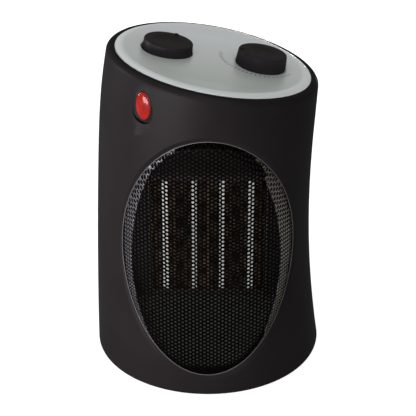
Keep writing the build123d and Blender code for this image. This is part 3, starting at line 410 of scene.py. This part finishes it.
# ---- mesh helpers ------------------------------------------------------------------------
def new_piece(name, vertices, faces, material, smooth=True):
    mesh = bpy.data.meshes.new(name)
    mesh.from_pydata([tuple(v) for v in vertices], [], faces)
    mesh.validate()
    mesh.materials.append(material)
    if smooth:
        mesh.shade_smooth()
    obj = bpy.data.objects.new(name, mesh)
    scene.collection.objects.link(obj)
    return obj


def thicken(piece, name, thickness):
    """Solidify modifier that adds the thickness, in millimetres, behind the piece's faces."""
    solidify = piece.modifiers.new(name, "SOLIDIFY")
    solidify.thickness = thickness * MM
    solidify.offset = -1
    return solidify


def node_bvh(name):
    mesh = nodes[name].data
    mesh.calc_loop_triangles()
    vertices = [v.co.copy() for v in mesh.vertices]
    triangles = [tuple(t.vertices) for t in mesh.loop_triangles]
    return BVHTree.FromPolygons(vertices, triangles)


def tube(path, radius, sides=8):
    """Vertices and faces of a round tube along a closed path."""
    path = np.array(path)
    count = len(path)
    ahead = np.roll(path, -1, 0) - np.roll(path, 1, 0)
    ahead /= np.linalg.norm(ahead, axis=1)[:, None]
    side = np.cross(ahead, BACKWARDS)
    side /= np.linalg.norm(side, axis=1)[:, None]
    up = np.cross(side, ahead)
    vertices, faces = [], []
    for i in range(count):
        for k in range(sides):
            a = TURN * k / sides
            vertices.append(path[i] + radius * (math.cos(a) * side[i] + math.sin(a) * up[i]))
    for i in range(count):
        j = (i + 1) % count
        for k in range(sides):
            n = (k + 1) % sides
            faces.append((i * sides + k, j * sides + k, j * sides + n, i * sides + n))
    return vertices, faces


def bilinear(table, row_place, column_place):
    """Values of a table between its rows and columns."""
    f = np.clip(row_place, 0, table.shape[0] - 1.001)
    g = np.clip(column_place, 0, table.shape[1] - 1.001)
    row, column = np.floor(f).astype(int), np.floor(g).astype(int)
    t, u = f - row, g - column
    lower = table[row, column] * (1 - u) + table[row, column + 1] * u
    upper = table[row + 1, column] * (1 - u) + table[row + 1, column + 1] * u
    return lower * (1 - t) + upper * t


def smoothstep(t):
    return t * t * (3 - 2 * t)


# ---- perforated grille -------------------------------------------------------------------
HOLE_PITCH = 2.98
HOLE_RADIUS = 0.98
HOLE_SIDES = 12            # as many as cell_outline has points
CELL_REACH = 40            # columns and rows of cells tried each way from the middle
VERTEX_GRID = 200          # cells share vertices that fall on the same 1/200 mm
SHEET = 0.6
GRILLE_FLANGE = 5.0        # solid flange outside the drawn wall
FLANGE_TRIM = 1.8          # cells stop this far inside the flange's edge
WALL_FACING = 0.52         # cells that face the front less than this belong to the drawn wall
DRAWN_HOLE = (1.35, 1.2)   # the wall's holes are drawn this much wider and taller
DRAWN_SHARE = 0.2          # share of a wall's extra length that the pattern follows
MAP_STEP = 0.5             # spacing of the depth map
SOFT_REACH = 4             # steps each way in the softening of the depth map
SOFT_WIDTH = 0.8           # standard deviation of that softening
RAY_START = 0.01           # metres in front of the CAD box


class GrilleSurface:
    """The drawn sheet as a depth map, with the flat perforation pattern stretched over it.

    Places on it are in mm from the grille's middle, x across and z up.
    """

    def __init__(self):
        low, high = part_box("front_grille")
        self.middle = np.array((low.x + high.x, low.z + high.z)) / 2 / MM
        self.half = np.array((high.x - low.x, high.z - low.z)) / 2 / MM
        self.x = np.arange(-self.half[0], self.half[0] + MAP_STEP, MAP_STEP)
        self.z = np.arange(-self.half[1], self.half[1] + MAP_STEP, MAP_STEP)
        self.depth = self.soften(self.shoot())
        column = len(self.x) // 2
        self.upward = self.stretched(self.depth[:, column:column + 1], axis=0)[:, 0]
        across = self.stretched(self.depth, axis=1)
        self.pattern = np.arange(across.min(), across.max(), MAP_STEP / 2)
        self.pattern_x = np.array([np.interp(self.pattern, line, self.x) for line in across])

    def shoot(self):
        """Depth of the front surface, with the drawn grid's openings bridged."""
        tree = node_bvh("front_grille")
        start = cad_low.y - RAY_START
        forward = Vector(BACKWARDS)
        rows = []
        for z in self.z:
            row = []
            for x in self.x:
                spot = Vector(((self.middle[0] + x) * MM, start, (self.middle[1] + z) * MM))
                hit = tree.ray_cast(spot, forward)[0]
                row.append(hit.y / MM if hit else math.nan)
            rows.append(row)
        rows = np.array(rows)
        met = ~np.isnan(rows)
        full = np.nonzero(met.any(1))[0]
        filled = [np.interp(self.x, self.x[met[k]], rows[k][met[k]]) for k in full]
        nearest = np.clip(np.arange(len(rows)), full[0], full[-1]) - full[0]
        return np.array(filled)[nearest]

    def soften(self, depth):
        """The depth map blurred along both axes."""
        steps = np.arange(-SOFT_REACH, SOFT_REACH + 1)
        kernel = np.exp(-0.5 * (steps * MAP_STEP / SOFT_WIDTH) ** 2)
        kernel /= kernel.sum()

        def blur(line):
            return np.convolve(np.pad(line, SOFT_REACH, "edge"), kernel, "valid")

        for axis in (0, 1):
            depth = np.apply_along_axis(blur, axis, depth)
        return depth

    def stretched(self, depth, axis):
        """Pattern length from the middle. A drawn wall stretches the holes, and adds few."""
        run = np.hypot(1, np.diff(depth, axis=axis) / MAP_STEP)
        step = MAP_STEP * (1 + DRAWN_SHARE * (run - 1))
        shape = list(depth.shape)
        shape[axis] = 1
        length = np.concatenate([np.zeros(shape), np.cumsum(step, axis=axis)], axis=axis)
        return length - length.take([depth.shape[axis] // 2], axis=axis)

    def place(self, flat):
        """World positions of flat pattern points, and their places on the sheet."""
        flat = np.asarray(flat, float)
        z = np.interp(flat[:, 1], self.upward, self.z)
        x = bilinear(self.pattern_x, (z - self.z[0]) / MAP_STEP,
                     (flat[:, 0] - self.pattern[0]) / (MAP_STEP / 2))
        depth = self.sample(self.depth, x, z)
        world = np.stack([self.middle[0] + x, depth, self.middle[1] + z], 1) * MM
        return world, np.stack([x, z], 1)

    def sample(self, table, x, z):
        """Values of a table of the map's size at places on the sheet."""
        return bilinear(table, (z - self.z[0]) / MAP_STEP, (x - self.x[0]) / MAP_STEP)

    def facing(self, places):
        """How squarely the sheet faces the front at the places, 1 on a flat face."""
        x, z = places.T
        along = np.gradient(self.depth, MAP_STEP, axis=1)
        up = np.gradient(self.depth, MAP_STEP, axis=0)
        return 1 / np.sqrt(1 + self.sample(along, x, z) ** 2 + self.sample(up, x, z) ** 2)

    def share(self, places, inset):
        """Distance from the middle, 1 on the ellipse this far inside the sheet's edge."""
        x, z = places.T
        return np.hypot(x / (self.half[0] - inset), z / (self.half[1] - inset))


def round_points(radius, count):
    """Points on a circle round the origin."""
    angles = [math.radians(360 / count * k) for k in range(count)]
    return [(radius * math.cos(a), radius * math.sin(a)) for a in angles]


def cell_outline():
    """Corners and middles of the sides of one hexagonal cell."""
    corners = round_points(HOLE_PITCH / math.sqrt(3), 6)
    outline = []
    for a, b in zip(corners, corners[1:] + corners[:1]):
        outline += [a, ((a[0] + b[0]) / 2, (a[1] + b[1]) / 2)]
    return outline


def cell_centres():
    column_step = HOLE_PITCH * math.sqrt(3) / 2
    tried = range(-CELL_REACH, CELL_REACH + 1)
    return np.array([(i * column_step, (j + 0.5 * (i % 2)) * HOLE_PITCH)
                     for i in tried for j in tried])


def perforated_grille(materials):
    """The mesh: a hexagonal cell round each hole, and plain cells on the flange."""
    surface = GrilleSurface()
    outline = cell_outline()
    ring = round_points(HOLE_RADIUS, HOLE_SIDES)
    spots = cell_centres()
    _, seen = surface.place(spots)
    reaches = surface.share(seen, FLANGE_TRIM)
    flanges = surface.share(seen, GRILLE_FLANGE)
    facings = surface.facing(seen)
    flat, faces, keys = [], [], {}

    def vertex(x, y):
        key = (round(x * VERTEX_GRID), round(y * VERTEX_GRID))
        if key not in keys:
            keys[key] = len(flat)
            flat.append((x, y))
        return keys[key]

    for (x, y), reach, flange, facing in zip(spots, reaches, flanges, facings):
        if reach > 1:
            continue
        around = [vertex(x + a, y + b) for a, b in outline]
        if flange < 1:
            base = len(flat)
            wide, tall = DRAWN_HOLE if facing < WALL_FACING else (1, 1)
            flat.extend((x + a * wide, y + b * tall) for a, b in ring)
            for k in range(HOLE_SIDES):
                n = (k + 1) % HOLE_SIDES
                faces.append((around[k], around[n], base + n, base + k))
        else:
            faces.append(tuple(around))
    points, drawn = surface.place(flat)
    centres = np.array([drawn[list(face)].mean(0) for face in faces])
    on_wall = surface.facing(centres) < WALL_FACING
    sheet = new_piece("perforated_grille", points, faces, materials["grille"])
    # The drawn wall's cells take the paler copy of the paint, a painted sheen.
    sheet.data.materials.append(materials["grille_wall_sheen"])
    sheet.data.polygons.foreach_set("material_index", on_wall.astype(np.int32))
    solidify = thicken(sheet, "sheet", SHEET)
    solidify.material_offset = -1          # the wall's back and rims take the plain paint
    solidify.material_offset_rim = -1
    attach(sheet, "heater")
    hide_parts("front_grille")


# ---- control panel -----------------------------------------------------------------------
PANEL_CROWN = 3600.0       # radius of the panel's bow along its slope
PANEL_ROUND = 0.5          # rounding of the panel's outer edge
PANEL_THICKNESS = 1.2
SKIRT = 2.4                # the skin runs this far down the panel's edge
RING_FALL = 1.6            # the outer ring falls this much towards its edge
RING_WIDTH = 5.0
RING_PROBE = 3.0           # the drawn ring's height is read this far inside the edge
DISH_START = 4.0           # edge to where the shallow dish starts
DISH_END = 25.0            # edge to where it is full
DISH_SAG = 0.45            # the soft dish is this much deeper than the drawn one
WELL_RADIUS = 18.95        # mouth of the well round a knob
WELL_WALL = 0.4            # run of its steep wall
WELL_SOFT = 3.6            # how fast its soft mouth dies out
WELLS = ((4.0, 0.7), (1.2, 0.7))   # depth of each well, and how much of it the soft mouth has
SHAFT_HOLE = 4.2           # radius of the opening for a knob's shaft
EDGE_STEPS = 6
EDGE_POINTS = 360
EDGE_ANGLES = np.arange(EDGE_POINTS) * 2 * math.pi / EDGE_POINTS
EDGE_SEARCH = (55.0, 90.0)         # the panel's edge lies between these radii
EDGE_HALVINGS = 18
PANEL_ABOVE = 60.0         # rays start this high over the panel
MERGE = 0.001              # points of the skin nearer than this become one

# Points of the skin: rings along the edge, rings round each knob, and a grid between them.
EDGE_INSETS = np.concatenate([[PANEL_ROUND], np.arange(1.2, 17.0, 0.75)])
KNOB_RADII = np.concatenate([[SHAFT_HOLE, 10.0, 16.0], np.arange(18.4, 19.2, 0.1),
                             np.arange(19.4, 22.6, 0.4), np.arange(23.0, 29.5, 0.7)])
KNOB_POINTS = 150
KNOB_CLEAR = 23            # rings inside this radius stay whole
KNOB_INSET = 17.2          # the others keep this far from the edge
GRID_STEP = (1.5, 1.3)
GRID_REACH = 60            # columns and rows of the grid each way
GRID_CLEAR = 30            # the grid keeps this far from the knobs' middles
GRID_INSET = 17.5          # and this far from the edge


def crown(u):
    """How far the panel has fallen at u because of its bow."""
    return u * u / 2 / PANEL_CROWN


class Panel:
    """The sloped panel in its own frame: u along the slope, v backwards, w outwards, in mm."""

    def __init__(self):
        self.tree = node_bvh("control_panel")
        self.origin = np.array((0, 0, cad_high.z / MM))
        self.knobs = []
        for name in ("selector_knob", "thermostat_knob"):
            low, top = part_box(name)
            middle = (np.array(low) + np.array(top)) / 2 / MM
            u, v, _ = self.local(middle)
            self.knobs.append((u, v))
        middle_u = (self.knobs[0][0] + self.knobs[1][0]) / 2
        self.floor = self.hit(middle_u, self.knobs[0][1]) + crown(middle_u)
        self.reach = np.array([self.edge(angle) for angle in EDGE_ANGLES])
        self.ring = self.ring_height()

    def local(self, point):
        away = np.asarray(point) - self.origin
        return away @ ALONG, away @ BACKWARDS, away @ OUTWARDS

    def world(self, u, v, w):
        return (self.origin + u * ALONG + v * BACKWARDS + w * OUTWARDS) * MM

    def hit(self, u, v):
        """Height of the drawn panel, or None outside it."""
        start = Vector(self.world(u, v, PANEL_ABOVE))
        found = self.tree.ray_cast(start, Vector(-OUTWARDS))[0]
        return self.local(np.array(found) / MM)[2] if found else None

    def edge(self, angle):
        """Distance from the frame's middle to the panel's outer edge."""
        inside, outside = EDGE_SEARCH
        for _ in range(EDGE_HALVINGS):
            middle = (inside + outside) / 2
            if self.hit(middle * math.cos(angle), middle * math.sin(angle)) is None:
                outside = middle
            else:
                inside = middle
        return inside

    def ring_height(self):
        """Mean height of the drawn ring, with the crown taken off."""
        heights = []
        for angle, reach in zip(EDGE_ANGLES, self.reach):
            radius = reach - RING_PROBE
            u, v = radius * math.cos(angle), radius * math.sin(angle)
            heights.append(self.hit(u, v) + crown(u))
        return np.mean(heights)

    def inset(self, u, v):
        """Distance inwards from the outer edge, along the line to the middle."""
        f = np.arctan2(v, u) % TURN / TURN * EDGE_POINTS
        i = np.floor(f).astype(int) % EDGE_POINTS
        t = f - np.floor(f)
        reach = self.reach[i] * (1 - t) + self.reach[(i + 1) % EDGE_POINTS] * t
        return reach - np.hypot(u, v)

    def from_knobs(self, u, v):
        """Distance to the nearer knob's middle."""
        return min(math.hypot(u - ku, v - kv) for ku, kv in self.knobs)

    def height(self, u, v):
        """The moulded surface: ring, soft shallow dish and soft-mouthed wells."""
        e = self.inset(u, v)
        dish = smoothstep(np.clip((e - DISH_START) / (DISH_END - DISH_START), 0, 1))
        w = self.ring + (self.floor - DISH_SAG - self.ring) * dish
        w = w - RING_FALL * np.clip(1 - e / RING_WIDTH, 0, 1) ** 2
        w = w - crown(u)
        for (ku, kv), (well, dip) in zip(self.knobs, WELLS):
            d = np.hypot(u - ku, v - kv)
            soft = dip * np.exp(-np.clip(d - WELL_RADIUS, 0, None) / WELL_SOFT)
            wall = smoothstep(np.clip((WELL_RADIUS - d) / WELL_WALL, 0, 1))
            w = w - soft - (well - dip) * wall
        return w


def skin_points(panel):
    """Points of the panel's skin, seen along w. The first EDGE_POINTS are its border."""
    points = []
    for inset in EDGE_INSETS:
        radius = panel.reach - inset
        points += list(zip(radius * np.cos(EDGE_ANGLES), radius * np.sin(EDGE_ANGLES)))
    turns = np.arange(KNOB_POINTS) * 2 * math.pi / KNOB_POINTS
    for ku, kv in panel.knobs:
        for radius in KNOB_RADII:
            ring = np.stack([ku + radius * np.cos(turns), kv + radius * np.sin(turns)], 1)
            keep = (radius < KNOB_CLEAR) | (panel.inset(ring[:, 0], ring[:, 1]) > KNOB_INSET)
            points += [tuple(q) for q in ring[keep]]
    for i in range(-GRID_REACH, GRID_REACH + 1):
        for j in range(-GRID_REACH, GRID_REACH + 1):
            u, v = GRID_STEP[0] * (i + 0.5 * (j % 2)), GRID_STEP[1] * j
            if panel.from_knobs(u, v) > GRID_CLEAR and panel.inset(u, v) > GRID_INSET:
                points.append((u, v))
    return points


def moulded_panel(panel, materials):
    """The panel's skin over the same ring, dish and wells, with the soft moulded edges it has."""
    border = [(i, (i + 1) % EDGE_POINTS) for i in range(EDGE_POINTS)]
    points = [Vector(q) for q in skin_points(panel)]
    flat, _, triangles, origin, _, _ = delaunay_2d_cdt(points, border, [], 0, MERGE)
    flat = np.array([tuple(q) for q in flat])
    heights = panel.height(flat[:, 0], flat[:, 1])
    vertices = [panel.world(u, v, w) for (u, v), w in zip(flat, heights)]
    faces = [tuple(triangle) for triangle in triangles
             if panel.from_knobs(*flat[list(triangle)].mean(0)) > SHAFT_HOLE]

    place = {source: index for index, sources in enumerate(origin) for source in sources}
    last = [place[i] for i in range(EDGE_POINTS)]
    top = heights[last]
    steps = [(PANEL_ROUND * (1 - math.sin(t)), PANEL_ROUND * (1 - math.cos(t)))
             for t in np.linspace(0, math.pi / 2, EDGE_STEPS)[1:]]
    steps.append((0.0, SKIRT))
    for inset, drop in steps:
        ring = []
        for angle, reach, height in zip(EDGE_ANGLES, panel.reach, top):
            radius = reach - inset
            ring.append(len(vertices))
            u, v = radius * math.cos(angle), radius * math.sin(angle)
            vertices.append(panel.world(u, v, height - drop))
        for k in range(EDGE_POINTS):
            n = (k + 1) % EDGE_POINTS
            faces.append((last[k], ring[k], ring[n], last[n]))
        last = ring
    skin = new_piece("moulded_panel", vertices, faces, materials["panel"])
    thicken(skin, "thickness", PANEL_THICKNESS)
    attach(skin, "heater")
    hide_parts("control_panel")


# ---- printed marks -----------------------------------------------------------------------
MARKS = np.linspace(160, 330, 23)  # degrees round the thermostat knob
MARK_START = 22.6          # distance of most marks from the knob's middle
MARK_DRIFT = 6.0           # the last one on the left starts this much farther out
DRIFT_FROM = 230           # degrees where that drift begins
DRIFT_OVER = 70            # degrees it takes
DRIFT_POWER = 1.3
MARK_LENGTH = 2.8
MARK_HALF_WIDTH = 0.42
MARK_STEPS = 4
MARK_LIFT = 0.03           # above the panel
MARK_THICKNESS = 0.05


def scale_marks(panel, materials):
    """Fine printed marks round the thermostat knob, farther out towards the left end."""
    ku, kv = panel.knobs[1]
    vertices, faces = [], []
    for degrees in MARKS:
        angle = math.radians(degrees)
        drift = max(0.0, (DRIFT_FROM - degrees) / DRIFT_OVER) ** DRIFT_POWER
        start = MARK_START + MARK_DRIFT * drift
        across = np.array((-math.sin(angle), math.cos(angle))) * MARK_HALF_WIDTH
        base = len(vertices)
        for step in range(MARK_STEPS + 1):
            radius = start + MARK_LENGTH * step / MARK_STEPS
            middle = np.array((ku + radius * math.cos(angle), kv + radius * math.sin(angle)))
            for side in (-1, 1):
                u, v = middle + side * across
                vertices.append(panel.world(u, v, panel.height(u, v) + MARK_LIFT))
        for step in range(MARK_STEPS):
            a = base + 2 * step
            faces.append((a, a + 1, a + 3, a + 2))
    marks = new_piece("scale_marks", vertices, faces, materials["tick"], smooth=False)
    thicken(marks, "ink", MARK_THICKNESS)
    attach(marks, "heater")


# ---- trim --------------------------------------------------------------------------------
BEAD = 0.32                # radius of the bead along the outlet
BEAD_OUT = 0.15            # its middle lies this far outside the drawn wall
BEAD_POINTS = 360
LENS_ANGLE = 36.3          # degrees left of straight ahead
# The ring round the lens is painted shade for the gap round it.
GAP_SHADE = 0.5               # radius of the ring round the lens
GAP_SHADE_POINTS = 120


def outlet_bead(materials):
    """Fine rounded bead along the inner edge of the outlet's lip, coloured paler than the shell as
    a painted highlight on that edge.
    """
    grille_low, grille_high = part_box("front_grille")
    centre_x = (grille_low.x + grille_high.x) / 2
    centre_z = (grille_low.z + grille_high.z) / 2
    half_width = (grille_high.x - grille_low.x) / 2 - GRILLE_FLANGE * MM
    half_height = (grille_high.z - grille_low.z) / 2 - GRILLE_FLANGE * MM
    tree = node_bvh("front_housing")
    path = []
    for i in range(BEAD_POINTS):
        a = TURN * i / BEAD_POINTS
        x = centre_x + (half_width + BEAD_OUT * MM) * math.cos(a)
        z = centre_z + (half_height + BEAD_OUT * MM) * math.sin(a)
        hit = tree.ray_cast(Vector((x, cad_low.y - RAY_START, z)), Vector(BACKWARDS))[0]
        path.append((x, hit.y if hit else path[-1][1], z))
    vertices, faces = tube(path, BEAD * MM)
    bead = new_piece("outlet_bead", vertices, faces, materials["lip"])
    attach(bead, "heater")


def lens_gap_shade_ring(materials):
    """Thin black ring round the lens, lying on the floor of its pocket: painted shade standing in
    for the shaded gap round the lens.
    """
    turn = math.radians(LENS_ANGLE)
    away = np.array((-math.sin(turn), -math.cos(turn), 0))
    across = np.array((math.cos(turn), -math.sin(turn), 0))
    upward = np.array((0, 0, 1.0))
    points = np.array([tuple(v.co) for v in nodes["neon_lens"].data.vertices])
    middles, halves = [], []
    for axis in (across, upward):
        low, high = (points @ axis).min(), (points @ axis).max()
        middles.append((low + high) / 2)
        halves.append((high - low) / 2 + GAP_SHADE * MM)
    tree = node_bvh("front_housing")
    start = (points @ away).max() + RAY_START
    path = []
    for k in range(GAP_SHADE_POINTS):
        a = TURN * k / GAP_SHADE_POINTS
        sideways = middles[0] + halves[0] * math.cos(a)
        up = middles[1] + halves[1] * math.sin(a)
        spot = sideways * across + up * upward
        hit = tree.ray_cast(Vector(spot + start * away), Vector(-away))[0]
        path.append(tuple(hit))
    vertices, faces = tube(path, GAP_SHADE * MM)
    lens_gap_shade = new_piece("lens_gap_shade_ring", vertices, faces, materials["lens_gap_shade"])
    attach(lens_gap_shade, "heater")


# ---- stage -------------------------------------------------------------------------------
FLOOR_HALF = 6.0
FLOOR_DROP = 0.00005       # keeps the feet's soles clear of the floor
FLOOR_COLOUR = 0.8         # as the lamps' light meets it
FLOOR_GLOW = 0.85          # as the camera and reflections see it, with
FLOOR_SHADE = 0.3          # this much of the light on top
WORLD_SEEN = 1.0
WORLD_LIGHT = 0.35
LAMP_AIM = (0, 0, 0.13)

# name, azimuth and elevation in degrees, distance, size, power, options of area_lamp
LAMPS = (
    ("key_left", -42, 1, 0.9, (0.7, 0.26), 22, dict(colour=(1.0, 0.96, 1.0))),
    ("side_strip", -102, 12, 1.1, (0.10, 0.4), 10, dict(colour=(0.97, 0.97, 1.0))),
    ("top", 10, 78, 1.2, (0.9, 0.9), 7, {}),
    ("front_fill", 8, 38, 1.6, (0.6, 0.5), 9, {}),
    ("back_right", 170, -3, 1.0, (0.5, 0.10), 12, dict(aim=(0, 0, 0.10))),
)


def seen_directly(tree):
    """1 for camera, glossy and transmission rays."""
    path = tree.nodes.new("ShaderNodeLightPath")
    total = path.outputs["Is Camera Ray"]
    for name in ("Is Glossy Ray", "Is Transmission Ray"):
        total = number_math(tree, "MAXIMUM", total, path.outputs[name])
    return total


def make_floor():
    """Plain pale floor that only the object's shadow darkens."""
    half = FLOOR_HALF
    mesh = bpy.data.meshes.new("floor")
    corners = [(-half, -half, 0), (half, -half, 0), (half, half, 0), (-half, half, 0)]
    mesh.from_pydata(corners, [], [(0, 1, 2, 3)])
    floor = bpy.data.objects.new("floor", mesh)
    floor.location.z = -FLOOR_DROP
    scene.collection.objects.link(floor)
    material = bpy.data.materials.new("pale_floor")
    tree = node_tree(material)
    output = tree.nodes.new("ShaderNodeOutputMaterial")
    plain = tree.nodes.new("ShaderNodeBsdfDiffuse")
    fill(plain, {"Color": (FLOOR_COLOUR, FLOOR_COLOUR, FLOOR_COLOUR, 1)})
    glow = tree.nodes.new("ShaderNodeEmission")
    fill(glow, {"Strength": FLOOR_GLOW})
    dim = tree.nodes.new("ShaderNodeBsdfDiffuse")
    fill(dim, {"Color": (FLOOR_SHADE, FLOOR_SHADE, FLOOR_SHADE, 1)})
    both = tree.nodes.new("ShaderNodeAddShader")
    link(tree, glow.outputs[0], both.inputs[0])
    link(tree, dim.outputs[0], both.inputs[1])
    mixed_shader(tree, seen_directly(tree), plain, both, output)
    mesh.materials.append(material)


def make_world():
    """White where it is seen or mirrored, and a weaker light on everything else."""
    world = bpy.data.worlds.new("studio")
    scene.world = world
    tree = node_tree(world)
    output = tree.nodes.new("ShaderNodeOutputWorld")
    seen = tree.nodes.new("ShaderNodeBackground")
    fill(seen, {"Color": (1, 1, 1, 1), "Strength": WORLD_SEEN})
    light = tree.nodes.new("ShaderNodeBackground")
    fill(light, {"Color": (0.95, 0.97, 1.0, 1), "Strength": WORLD_LIGHT})
    mixed_shader(tree, seen_directly(tree), light, seen, output)


def area_lamp(name, azimuth, elevation, distance, size, power, colour=(1, 1, 1), aim=LAMP_AIM):
    """A soft lamp. Azimuth 0 is in front of the heater, and negative is to its left."""
    data = bpy.data.lights.new(name, "AREA")
    data.shape = "RECTANGLE"
    data.size, data.size_y = size
    data.energy = power
    data.color = colour
    lamp = bpy.data.objects.new(name, data)
    scene.collection.objects.link(lamp)
    a, e = math.radians(azimuth), math.radians(elevation)
    away = Vector((math.sin(a) * math.cos(e), -math.cos(a) * math.cos(e), math.sin(e)))
    lamp.location = Vector(aim) + away * distance
    lamp.rotation_mode = "QUATERNION"
    lamp.rotation_quaternion = away.to_track_quat("Z", "Y")


def make_lamps():
    for *place, options in LAMPS:
        area_lamp(*place, **options)


scene.view_settings.view_transform = "Standard"
make_camera()
make_world()
make_floor()
make_lamps()
finishes = make_materials()
dress_nodes(finishes)
perforated_grille(finishes)
drawn_panel = Panel()
moulded_panel(drawn_panel, finishes)
scale_marks(drawn_panel, finishes)
outlet_bead(finishes)
lens_gap_shade_ring(finishes)
